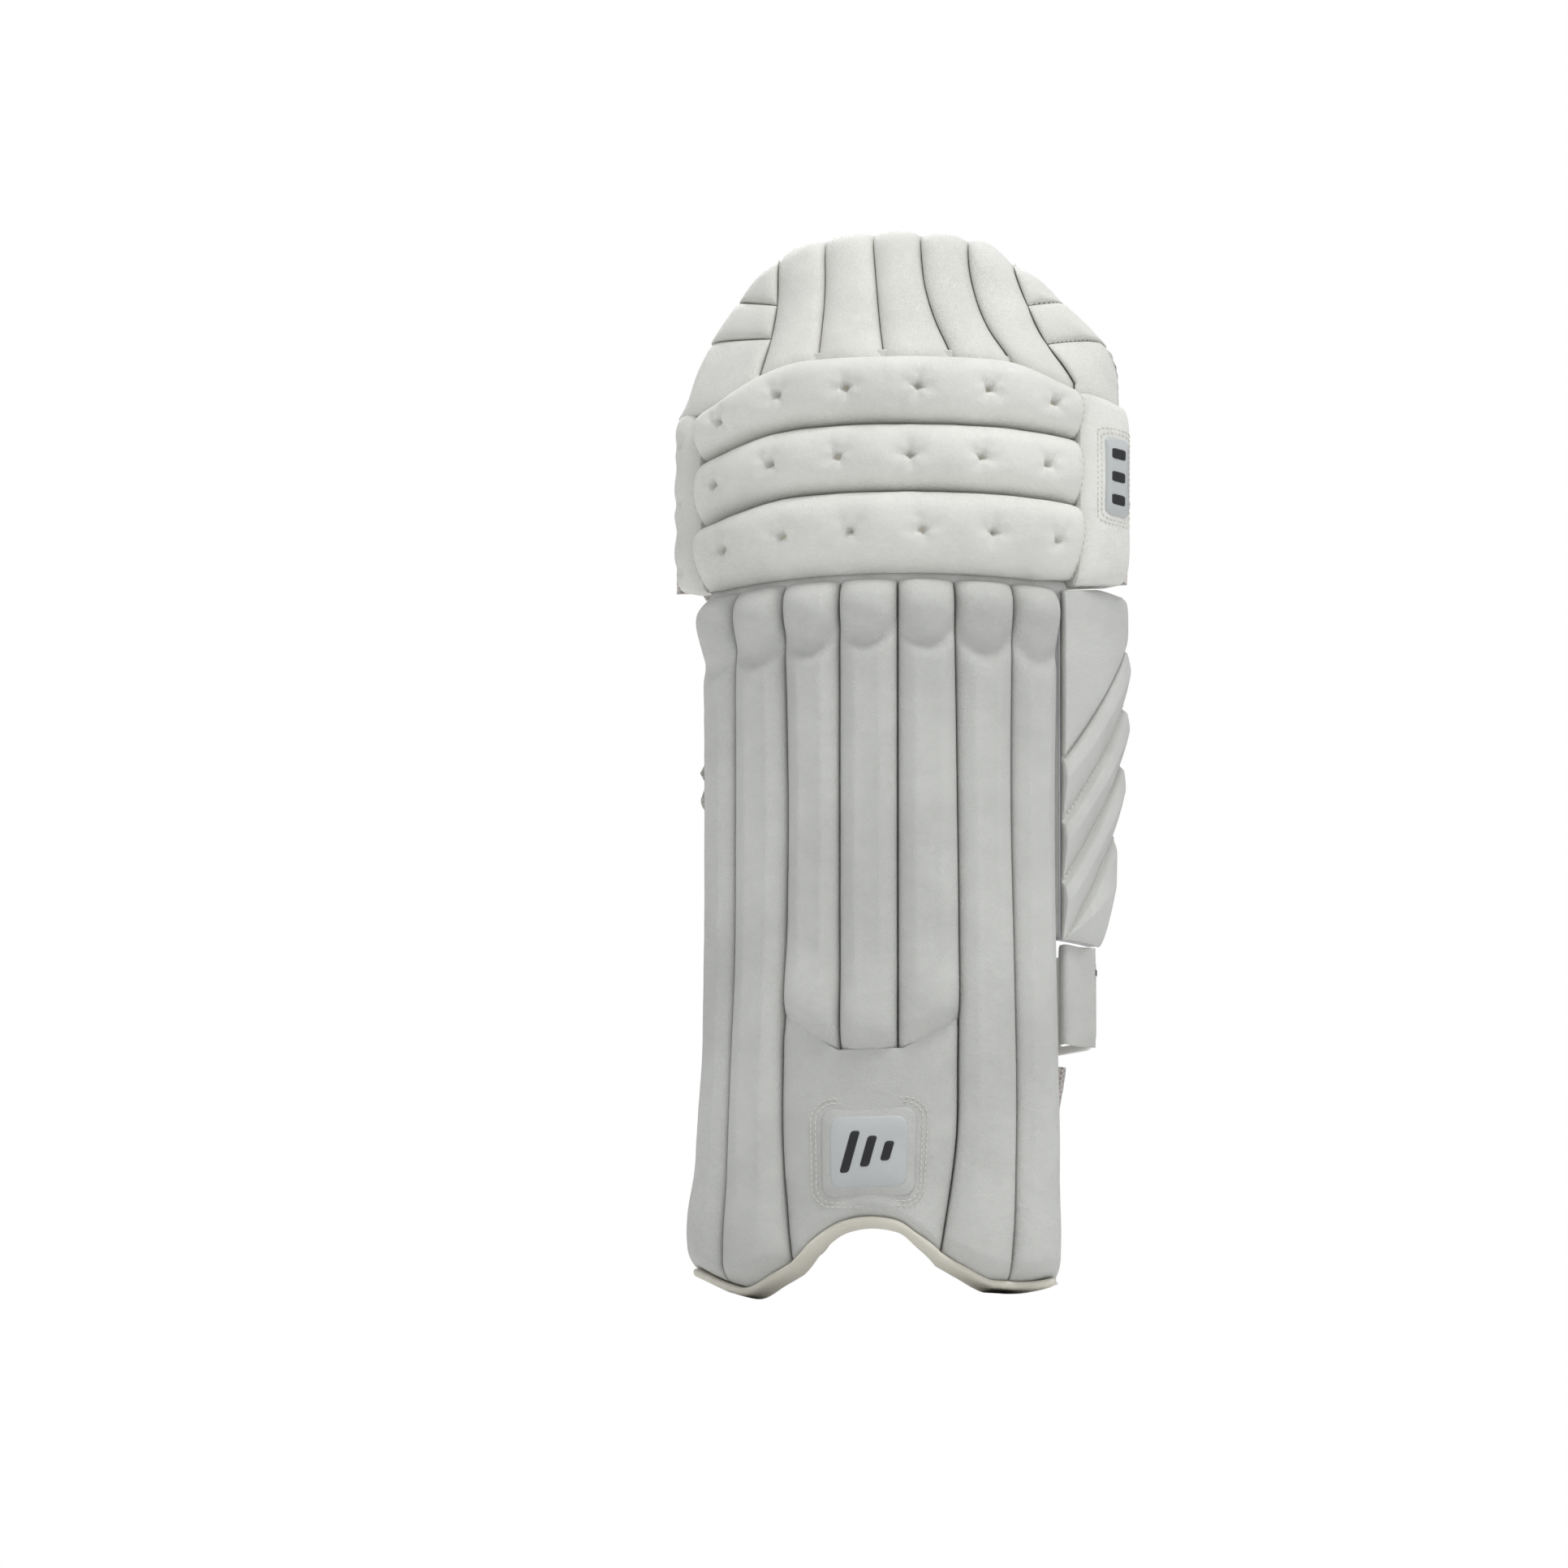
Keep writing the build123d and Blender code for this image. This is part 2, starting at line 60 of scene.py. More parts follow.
# ---------------------------------------------------------------- sizes, from the frame
BACKING_OUT = 137.0  # radius of the shin backing's outside
backing_low, backing_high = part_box("shin_backing")
AXIS_X = (backing_low[0] + backing_high[0]) / 2 / MM
AXIS_Y = backing_low[1] / MM + BACKING_OUT
SHIN_TOP = backing_high[2] / MM
KNEE_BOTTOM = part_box("knee_roll_lower")[0][2] / MM
ROLL_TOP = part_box("knee_roll_upper")[1][2] / MM
HAT_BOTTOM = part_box("top_hat_bolster_3")[0][2] / MM
WING_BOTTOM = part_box("wing_panel")[0][2] / MM
WING_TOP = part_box("wing_panel")[1][2] / MM

PAD_BACK = 137.3  # radius where the front pads sit on the backing
CANE_OUT = 158.0  # radii of the fronts of the canes, the instep pad and the knee rolls
INSTEP_OUT = 152.5
ROLL_OUT = 166.0
LINING = 133.5  # radius of the lining's face on the leg's side
CANE_EDGES = [-46.4, -33.4, -20.05, -6.7, 6.7, 20.05, 33.4, 46.4]  # angles of the seams between canes
BINDING = 4.5  # height of the bound hem below the front pads
LEAN = 28.0  # degrees that the top hat leans back, from HAT_BASE up
HAT_BASE = 560.0
WING_RADIUS = 114.0  # the wing curves round a centre of its own, this far from the shin axis
WING_X = 36.0 * np.sin(np.radians(46.4))
WING_Y = -36.0 * np.cos(np.radians(46.4))


# ---------------------------------------------------------------- small maths
def smooth(x, low, high):
    """0 at low, 1 at high, with soft ends."""
    t = np.clip((x - low) / (high - low), 0, 1)
    return t * t * (3 - 2 * t)


def bell(x, centre, width):
    return np.exp(-(((x - centre) / width) ** 2))


def through(x, xs, ys):
    """A smooth curve through the points (xs, ys), level beyond its ends."""
    xs, ys = np.asarray(xs, float), np.asarray(ys, float)
    if xs[0] > xs[-1]:
        xs, ys = xs[::-1], ys[::-1]
    slopes = np.gradient(ys, xs)
    x = np.clip(x, xs[0], xs[-1])
    i = np.clip(np.searchsorted(xs, x) - 1, 0, len(xs) - 2)
    span = xs[i + 1] - xs[i]
    t = (x - xs[i]) / span
    return (
        ys[i] * (1 + 2 * t) * (1 - t) ** 2
        + ys[i + 1] * t * t * (3 - 2 * t)
        + span * (slopes[i] * t * (1 - t) ** 2 - slopes[i + 1] * t * t * (1 - t))
    )


def spread(count, ends=0.75):
    """0 to 1 in count steps, closer together near both ends."""
    t = np.linspace(0, 1, count)
    return (1 - ends) * t + ends * (0.5 - 0.5 * np.cos(np.pi * t))


def crown(t, power):
    """A cushion's profile: 0 at t = 0 and 1, 1 in the middle, steep at the ends."""
    return np.clip(1 - np.abs(2 * t - 1) ** power, 0, 1) ** (1 / power)


def dome(x):
    """A quarter-round rise: 0 at x = 0, 1 at x = 1 and beyond."""
    return np.sqrt(np.clip(1 - (1 - np.clip(x, 0, 1)) ** 2, 0, 1))


def fractions(rows, columns, row_ends=0.0, column_ends=0.0):
    """Fractions s and t along the two directions of a grid, closer together near its edges."""
    return spread(rows, row_ends)[:, None], spread(columns, column_ends)[None]


def unspread(values, count, ends):
    """Grid fractions for places given along a spread() direction."""
    return np.interp(values, spread(count, ends), np.linspace(0, 1, count))


def circle(count):
    """Angles evenly round a circle."""
    return np.linspace(0, 2 * np.pi, count + 1)[:-1]


def closed(loop):
    return np.concatenate([loop, loop[:1]])


def unit(vectors):
    return vectors / (np.linalg.norm(vectors, axis=-1, keepdims=True) + 1e-9)


def lattice(i, j, k, seed):
    """A repeatable number from 0 to 1 for each point of a whole-number grid."""
    n = np.sin(i * 12.9898 + j * 78.233 + k * 37.719 + seed * 4.581) * 43758.5453
    return n - np.floor(n)


def noise(x, y, z, size, seed=0):
    """Smooth noise from -1 to 1 with features of the given size."""
    x, y, z = np.broadcast_arrays(x / size, y / size, z / size)
    i, j, k = np.floor(x), np.floor(y), np.floor(z)
    u, v, w = x - i, y - j, z - k
    u, v, w = (c * c * (3 - 2 * c) for c in (u, v, w))
    total = 0
    for di in (0, 1):
        for dj in (0, 1):
            for dk in (0, 1):
                weight = (u if di else 1 - u) * (v if dj else 1 - v) * (w if dk else 1 - w)
                total = total + weight * lattice(i + di, j + dj, k + dk, seed)
    return 2 * total - 1


# ---------------------------------------------------------------- places
def polar(r, a, z, centre=(0.0, 0.0)):
    """Points at radius, angle and height round the shin axis, or round a centre beside it."""
    r, a, z = np.broadcast_arrays(r, a, z)
    t = np.radians(a)
    x = AXIS_X + centre[0] + r * np.sin(t)
    y = AXIS_Y + centre[1] - r * np.cos(t)
    return np.stack([x, y, z + 0.0 * x], axis=-1)


SHIFT_HEIGHTS = [431, 290, 190, 140, 90, 45, 15]
SEAM_SHIFTS = [  # how far each seam between canes wanders sideways at those heights
    [0, 2, 1, 0, -4, -8, -7],
    [0, 0, -1, -3, -5, -7, -8],
    [-1, 2, 0, -3, -3, 0, 3],
    [0, 0, 0, 0, 0, 0, 0],
    [0, 0, 0, 0, 0, 0, 0],
    [-1, 1, 2, 2, 1, -5, -10],
    [0, -1, 1, 2, 2, 1, -1],
    [0, -2, -1, 0, 1, 1, 1],
]


def shin_point(r, a, z):
    """A point of the shin shell, with the flare and wander that sewing gives it."""
    r, a, z = np.broadcast_arrays(r, a, z)
    shifts = np.stack([through(z, SHIFT_HEIGHTS, row) for row in SEAM_SHIFTS])
    a_in = np.clip(a, CANE_EDGES[0], CANE_EDGES[-1])
    k = np.clip(np.searchsorted(CANE_EDGES, a_in) - 1, 0, 6)
    edges = np.array(CANE_EDGES)
    t = (a_in - edges[k]) / (edges[k + 1] - edges[k])
    low = np.take_along_axis(shifts, k[None], 0)[0]
    high = np.take_along_axis(shifts, (k + 1)[None], 0)[0]
    points = polar(r, a, z)
    points[..., 0] += low * (1 - t) + high * t
    return points


def aside_at(r, a):
    """How far a place is from the shin axis sideways."""
    return r * np.sin(np.radians(a))


def behind_at(r, a):
    """The Y of a place at a radius and angle."""
    return AXIS_Y - r * np.cos(np.radians(a))


def angle_at(x, r, most=1.0):
    """Angle of a place that lies x sideways of the shin axis on a radius."""
    return np.degrees(np.arcsin(np.clip(x / r, -most, most)))


def from_axis(r, a):
    """A place or direction measured from the shin axis, in plan."""
    return polar(r, a, 0) - [AXIS_X, AXIS_Y, 0]


def wing_point(r, a, z):
    return polar(r, a, z, (WING_X, WING_Y))


def hat_point(r, a, z):
    """A point of the top hat, which leans back from its foot up."""
    points = polar(r, a, z)
    points[..., 1] += (z - HAT_BASE) * np.tan(np.radians(LEAN))
    return points


FOOT_X = [-103, -95, -87, -79, -71, -59, -45, -35, -22, -9.5, 6.7, 20, 31, 45, 60, 73, 83, 93, 103]
FOOT_Z = [18, 13, 8, 3.5, 0.0, 6.5, 15.5, 24.5, 33.3, 36.8, 36.8, 33.2, 26.4, 18.5, 8.2, 0.0, 0, 1.5, 5]


def foot_line(x, extra=0.0):
    """Height of the pad's lower edge at x from the axis: two feet and the arch over the shoe."""
    return np.maximum(through(x, FOOT_X, FOOT_Z), 0.0) + extra


# ---------------------------------------------------------------- meshes
def grid_faces(rows, columns, start=0, flip=False):
    i = np.arange(rows - 1)[:, None] * columns + np.arange(columns - 1)[None]
    i = i.ravel() + start
    quads = np.stack([i, i + 1, i + columns + 1, i + columns], axis=1)
    return quads[:, ::-1] if flip else quads


def rim(rows, columns):
    """Indices round the edge of a grid, in order."""
    index = np.arange(rows * columns).reshape(rows, columns)
    return np.concatenate([index[0, :-1], index[:-1, -1], index[-1, :0:-1], index[:0:-1, 0]])


def make_mesh(name, points, faces, uv=None, material=None, tidy=True):
    """A mesh object at the origin from points in millimetres."""
    mesh = bpy.data.meshes.new(name)
    faces = faces.tolist() if isinstance(faces, np.ndarray) else faces
    mesh.from_pydata((np.asarray(points) * MM).tolist(), [], faces)
    if uv is not None:
        layer = mesh.uv_layers.new(name="UVMap")
        loops = np.zeros(len(mesh.loops), int)
        mesh.loops.foreach_get("vertex_index", loops)
        layer.data.foreach_set("uv", (np.asarray(uv) * MM)[loops].ravel())
    mesh.polygons.foreach_set("use_smooth", [True] * len(mesh.polygons))
    obj = bpy.data.objects.new(name, mesh)
    scene.collection.objects.link(obj)
    if tidy:
        tidy_normals(obj)
    if material:
        obj.data.materials.append(material)
    return obj


def tidy_normals(obj):
    """Turns every face outwards."""
    work = bmesh.new()
    work.from_mesh(obj.data)
    bmesh.ops.recalc_face_normals(work, faces=work.faces)
    work.to_mesh(obj.data)
    work.free()


def arc_lengths(grid):
    """Distances along both directions of a grid, measured through its middle."""
    rows, columns = grid.shape[:2]
    across = np.linalg.norm(np.diff(grid[:, columns // 2], axis=0), axis=1)
    along = np.linalg.norm(np.diff(grid[rows // 2], axis=0), axis=1)
    u = np.concatenate([[0], np.cumsum(across)])
    v = np.concatenate([[0], np.cumsum(along)])
    return np.stack(np.meshgrid(u, v, indexing="ij"), axis=-1).reshape(-1, 2)


SURFACES = {}


def slab(name, front, back, material, steps=1):
    """A closed piece between a front and a back surface, joined by walls round the edge."""
    rows, columns = front.shape[:2]
    SURFACES[name] = front
    count = rows * columns
    edge = rim(rows, columns)
    ring = len(edge)
    points = [front.reshape(-1, 3), back.reshape(-1, 3)]
    uv = arc_lengths(front)
    uvs = [uv, uv]
    faces = [grid_faces(rows, columns), grid_faces(rows, columns, count, flip=True)]
    loops = [edge]
    for step in range(1, steps):
        t = step / steps
        points.append(front.reshape(-1, 3)[edge] * (1 - t) + back.reshape(-1, 3)[edge] * t)
        uvs.append(uv[edge])
        loops.append(2 * count + (step - 1) * ring + np.arange(ring))
    loops.append(edge + count)
    for one, other in zip(loops, loops[1:]):
        after_one, after_other = np.roll(one, -1), np.roll(other, -1)
        faces.append(np.stack([one, other, after_other, after_one], axis=1))
    return make_mesh(name, np.concatenate(points), np.concatenate(faces), np.concatenate(uvs), material)


def surface_at(name, s, t):
    """Points and outward normals of a piece's front surface at fractions s, t of its grid."""
    grid = SURFACES[name]
    rows, columns = grid.shape[:2]
    s, t = np.broadcast_arrays(np.asarray(s, float), np.asarray(t, float))

    def sample(s, t):
        x = np.clip(s, 0, 1) * (rows - 1)
        y = np.clip(t, 0, 1) * (columns - 1)
        i, j = np.minimum(x.astype(int), rows - 2), np.minimum(y.astype(int), columns - 2)
        u, v = (x - i)[..., None], (y - j)[..., None]
        return (
            grid[i, j] * (1 - u) * (1 - v) + grid[i + 1, j] * u * (1 - v)
            + grid[i, j + 1] * (1 - u) * v + grid[i + 1, j + 1] * u * v
        )

    here = sample(s, t)
    step = 0.01
    du = sample(s + step, t) - sample(s - step, t)
    dv = sample(s, t + step) - sample(s, t - step)
    return here, unit(np.cross(du, dv))


def resample(points, pitch):
    """Points at even distances along a line, and the directions there."""
    points = np.asarray(points, float)
    lengths = np.concatenate([[0], np.cumsum(np.linalg.norm(np.diff(points, axis=0), axis=1))])
    count = max(2, int(round(lengths[-1] / pitch)))
    marks = (np.arange(count) + 0.5) * lengths[-1] / count
    even = np.stack([np.interp(marks, lengths, points[:, c]) for c in range(3)], axis=1)
    ahead = np.stack([np.interp(marks + 0.5, lengths, points[:, c]) for c in range(3)], axis=1)
    behind = np.stack([np.interp(marks - 0.5, lengths, points[:, c]) for c in range(3)], axis=1)
    return even, unit(ahead - behind), marks / lengths[-1]


def stitch_shapes(points, normals, pitch=4.2, length=3.0, radius=0.42):
    """Threads of one seam: short rounded stitches that dip in at both ends."""
    points = np.asarray(points, float)
    even, way, marks = resample(points, pitch)
    steps = np.linspace(0, 1, len(points))
    normal = np.stack([np.interp(marks, steps, np.asarray(normals)[:, c]) for c in range(3)], axis=1)
    side = unit(np.cross(way, normal))
    verts, faces = [], []
    stations = [(-0.5, -0.35, 0.55), (-0.25, 0.3, 1.0), (0.25, 0.3, 1.0), (0.5, -0.35, 0.55)]
    corners = circle(6)
    for p, w, n, s in zip(even, way, normal, side):
        start = len(verts)
        for along, lift, size in stations:
            middle = p + w * along * length + n * lift * radius
            for c in corners:
                verts.append(middle + (s * np.cos(c) + n * np.sin(c)) * radius * size)
        for k in range(3):
            for c in range(6):
                one, two = start + 6 * k + c, start + 6 * k + (c + 1) % 6
                faces.append([one, two, two + 6, one + 6])
        faces.append([start + c for c in range(5, -1, -1)])
        faces.append([start + 18 + c for c in range(6)])
    return verts, faces


class Threads:
    """Collects the stitches of one body into one piece."""

    def __init__(self):
        self.verts, self.faces = [], []

    def add(self, points, normals, **sizes):
        verts, faces = stitch_shapes(points, normals, **sizes)
        start = len(self.verts)
        self.verts += verts
        self.faces += [[start + i for i in face] for face in faces]

    def on(self, name, s, t, lift=0.1, **sizes):
        points, normals = surface_at(name, s, t)
        self.add(points + normals * lift, normals, **sizes)

    def piece(self, name, body):
        piece = make_mesh(name, np.array(self.verts), self.faces, None, MATERIALS["thread"], tidy=False)
        return attach(piece, body, "front_pu")


# ---------------------------------------------------------------- materials
def socket(shader, *names):
    for name in names:
        if name in shader.inputs:
            return shader.inputs[name]
    raise KeyError(names)


class Nodes:
    """A short way to wire a material."""

    def __init__(self, name):
        self.material = bpy.data.materials.new(name)
        self.material.use_nodes = True
        self.tree = self.material.node_tree
        self.tree.nodes.clear()
        self.output = self.new("ShaderNodeOutputMaterial")
        self.shader = self.new("ShaderNodeBsdfPrincipled")
        self.link(self.shader.outputs[0], self.output.inputs[0])

    def new(self, kind, **settings):
        node = self.tree.nodes.new(kind)
        for key, value in settings.items():
            setattr(node, key, value)
        return node

    def link(self, one, other):
        self.tree.links.new(one, other)

    def feed(self, entry, value):
        """Sets an input to a number or a colour, or links it."""
        if isinstance(value, tuple):
            entry.default_value = (*value, 1)
        elif isinstance(value, (int, float)):
            entry.default_value = value
        else:
            self.link(value, entry)

    def math(self, operation, *values):
        node = self.new("ShaderNodeMath", operation=operation)
        for i, value in enumerate(values):
            self.feed(node.inputs[i], value)
        return node.outputs[0]

    def coords(self, kind="Object"):
        return self.new("ShaderNodeTexCoord").outputs[kind]

    def fill(self, kind, entries, **settings):
        """A new node with its named inputs set or linked; gives its first output."""
        node = self.new(kind, **settings)
        for name, value in entries.items():
            self.feed(node.inputs[name], value)
        return node.outputs[0]

    def noise(self, vector, scale, detail):
        entries = {"Vector": vector, "Scale": scale, "Detail": detail, "Roughness": 0.55}
        return self.fill("ShaderNodeTexNoise", entries)

    def cells(self, vector, scale):
        """Distance from the edges of random cells."""
        entries = {"Vector": vector, "Scale": scale}
        return self.fill("ShaderNodeTexVoronoi", entries, feature="DISTANCE_TO_EDGE")

    def ramp(self, value, low, high, out_low=0.0, out_high=1.0):
        entries = {"Value": value, "From Min": low, "From Max": high, "To Min": out_low, "To Max": out_high}
        return self.fill("ShaderNodeMapRange", entries, interpolation_type="SMOOTHSTEP")

    def patchy(self, where, scale, color, dark, light=1.0, reach=0.15):
        """The colour, slightly darker and lighter from place to place."""
        factor = self.ramp(self.noise(where, scale, 3), 0.5 - reach, 0.5 + reach)
        return self.mix(factor, shade(color, dark), shade(color, light))

    def mix(self, factor, one, other):
        node = self.new("ShaderNodeMix", data_type="RGBA")
        for i, value in ((0, factor), (6, one), (7, other)):
            self.feed(node.inputs[i], value)
        return node.outputs[2]

    def bump(self, height, distance, strength, under=None):
        entries = {"Height": height, "Strength": strength, "Distance": distance}
        if under is not None:
            entries["Normal"] = under
        return self.fill("ShaderNodeBump", entries)

    def finish(self, color, normal, roughness, specular, sheen=0.0):
        entries = {"Base Color": color, "Normal": normal, "Roughness": roughness}
        for name, value in entries.items():
            self.feed(self.shader.inputs[name], value)
        socket(self.shader, "Specular IOR Level", "Specular").default_value = specular
        socket(self.shader, "Sheen Weight", "Sheen").default_value = sheen
        return self.material


def shade(color, factor):
    return tuple(min(1, c * factor) for c in color)


def leather(name, color, grain=0.0002, roughness=0.5):
    """Soft PU: fine pebble grain with painted shade in its crevices, faint creasing, a slightly uneven tone.
    """
    n = Nodes(name)
    where = n.coords()
    pebbles = n.ramp(n.cells(where, 1150), 0.0, 0.35)
    tone = n.patchy(where, 11, color, 0.90, 1.045)
    # painted shade: the crevices between the grain's pebbles are darkened to three quarters of the colour
    tone = n.mix(n.ramp(pebbles, 0.0, 1.0, 0.16, 0.0), tone, shade(color, 0.75))
    creases = n.bump(n.noise(where, 90, 3), 0.00022, 1.0)
    height = n.math("MULTIPLY_ADD", n.noise(where, 2600, 2), 0.35, pebbles)
    rough = n.ramp(n.noise(where, 60, 2), 0.3, 0.7, roughness - 0.06, roughness + 0.08)
    return n.finish(tone, n.bump(height, grain, 0.9, creases), rough, 0.42)


def staggered(n, pitch_u, pitch_v, stretch):
    """Distance from the nearest point of a staggered grid laid on the surface, in pitches."""
    split = n.new("ShaderNodeSeparateXYZ")
    n.link(n.coords("UV"), split.inputs[0])
    row = n.math("DIVIDE", split.outputs[1], pitch_v * MM)
    odd = n.math("MODULO", n.math("FLOOR", row), 2)
    column = n.math("MULTIPLY_ADD", odd, 0.5, n.math("DIVIDE", split.outputs[0], pitch_u * MM))
    x = n.math("SUBTRACT", n.math("FRACT", column), 0.5)
    y = n.math("MULTIPLY", n.math("SUBTRACT", n.math("FRACT", row), 0.5), stretch)
    return n.math("SQRT", n.math("ADD", n.math("MULTIPLY", x, x), n.math("MULTIPLY", y, y)))


def air_mesh(name, color, hole_shade_color, pitch=(3.9, 2.9)):
    """Padded knitted mesh: staggered holes, filled with painted shade, between soft ribs."""
    n = Nodes(name)
    where = n.coords()
    distance = staggered(n, *pitch, 0.85)
    wobble = n.math("MULTIPLY_ADD", n.noise(where, 900, 2), 0.14, distance)
    hole = n.ramp(wobble, 0.26, 0.42, 1.0, 0.0)
    # painted shade: the holes take a darker copy of the mesh colour, standing in for the shade inside them
    tone = n.mix(n.math("MULTIPLY", hole, 0.8), n.patchy(where, 14, color, 0.93, 1.04), hole_shade_color)
    fuzz = n.bump(n.noise(where, 3200, 2), 0.0002, 0.6)
    normal = n.bump(n.math("SUBTRACT", 1.0, hole), 0.0007, 1.0, fuzz)
    return n.finish(tone, normal, 0.85, 0.2, 0.25)


def webbing(name, color):
    """Woven strap face: small raised floats in staggered rows, with painted shade between them."""
    n = Nodes(name)
    where = n.coords()
    distance = staggered(n, 2.1, 1.7, 0.8)
    wobble = n.math("MULTIPLY_ADD", n.noise(where, 1500, 2), 0.16, distance)
    pick = n.ramp(wobble, 0.30, 0.58, 1.0, 0.0)
    # painted shade: between the raised floats the colour is darkened to seven tenths
    tone = n.mix(n.math("SUBTRACT", 1.0, pick), n.patchy(where, 18, color, 0.92), shade(color, 0.70))
    fuzz = n.bump(n.noise(where, 4200, 2), 0.00015, 0.5)
    normal = n.bump(pick, 0.0005, 1.0, fuzz)
    return n.finish(tone, normal, 0.8, 0.2, 0.2)


def satin(name, color):
    """Thin woven lining with a soft sheen and faint creases."""
    n = Nodes(name)
    where = n.coords()
    weave = n.noise(where, 3800, 2)
    creases = n.bump(n.noise(where, 55, 4), 0.0009, 0.8)
    tone = n.patchy(where, 20, color, 0.9)
    return n.finish(tone, n.bump(weave, 0.0001, 0.6, creases), 0.42, 0.45, 0.4)


def plain(name, color, roughness=0.5, scale=900, depth=0.00006, specular=0.45):
    """Moulded or printed parts: an even tone with a faint surface texture."""
    n = Nodes(name)
    where = n.coords()
    tone = n.patchy(where, 40, color, 0.94, reach=0.2)
    rough = n.ramp(n.noise(where, 200, 2), 0.3, 0.7, roughness - 0.05, roughness + 0.05)
    return n.finish(tone, n.bump(n.noise(where, scale, 3), depth, 0.8), rough, specular)


MATERIALS = {
    # the front PU is darker than the knee's and the hat's: partly its own greyer tone, partly painted shade
    # for the upright faces of the shin, instep and wing, which the overhead light reaches less
    "front": leather("front_pu_leather_with_painted_shade", (0.545, 0.548, 0.525)),
    "knee": leather("knee_pu_leather", (0.725, 0.722, 0.685)),
    "hat": leather("hat_pu_leather", (0.710, 0.705, 0.665)),
    "back": leather("lining_pu_leather", (0.725, 0.715, 0.655), grain=0.00008, roughness=0.46),
    "binding": leather("binding_pu", (0.690, 0.665, 0.575), roughness=0.48),
    # the second colour of each air mesh is the painted shade in its holes
    "mesh": air_mesh("air_mesh_fabric", (0.605, 0.555, 0.530), (0.45, 0.405, 0.385)),
    "under": air_mesh("strap_under_mesh", (0.66, 0.62, 0.595), (0.47, 0.43, 0.41), (3.2, 2.4)),
    "webbing": webbing("strap_webbing", (0.88, 0.872, 0.84)),
    "satin": satin("satin_lining", (0.52, 0.505, 0.53)),
    "plastic": plain("white_nylon", (0.72, 0.72, 0.69), 0.42),
    "plate": plain("grey_badge_plate", (0.47, 0.485, 0.485), 0.42),
    "black": plain("black_print", (0.012, 0.012, 0.014), 0.45),
    "thread": plain("sewing_thread", (0.64, 0.63, 0.59), 0.7, 2500, 0.0001),
    "foam": plain("pale_foam", (0.70, 0.66, 0.52), 0.9, 700, 0.0006, 0.2),
    "cane": plain("cane_wood", (0.45, 0.31, 0.15), 0.6, 300, 0.0002),
    "board": plain("foam_board", (0.62, 0.62, 0.62), 0.8, 500, 0.0002, 0.3),
    "label": plain("round_label_paper", (0.78, 0.77, 0.73), 0.6),
}


def attach(obj, body, slot_name, *nodes, fill=None):
    """Rides a piece on its body and hides the CAD nodes that it stands for."""
    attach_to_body(obj, body)
    if nodes:
        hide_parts(*nodes)
    return obj


def cover(name, front, back, look, body, slot_name, *nodes, fill=None, steps=1):
    """A closed piece between two surfaces that rides on a body."""
    return attach(slab(name, front, back, MATERIALS[look], steps), body, slot_name, *nodes, fill=fill)


class Fillings:
    """Collects closed fillings that share one CAD node into one piece."""

    def __init__(self):
        self.verts, self.faces, self.count = [], [], 0

    def add(self, front, back):
        rows, columns = front.shape[:2]
        edge = rim(rows, columns)
        after = np.roll(edge, -1)
        size = rows * columns
        self.verts += [front.reshape(-1, 3), back.reshape(-1, 3)]
        self.faces += [
            grid_faces(rows, columns, self.count),
            grid_faces(rows, columns, self.count + size, flip=True),
            np.stack([edge, edge + size, after + size, after], axis=1) + self.count,
        ]
        self.count += 2 * size

    def piece(self, name, body, node):
        obj = make_mesh(name, np.concatenate(self.verts), np.concatenate(self.faces), None, MATERIALS["foam"])
        attach(obj, body, "foam", node, fill=0.9)


# ---------------------------------------------------------------- shin
PANEL_LINE = ([-70, -52, -19, 21, 54, 70], [176, 166, 141, 141, 162, 170])  # the canes' foot above the instep
shin_threads = Threads()
GROOVES = [7.5, 13.0, 11.0, 10.5, 10.5, 11.0, 13.0, 7.5]  # height of the seams above the backing


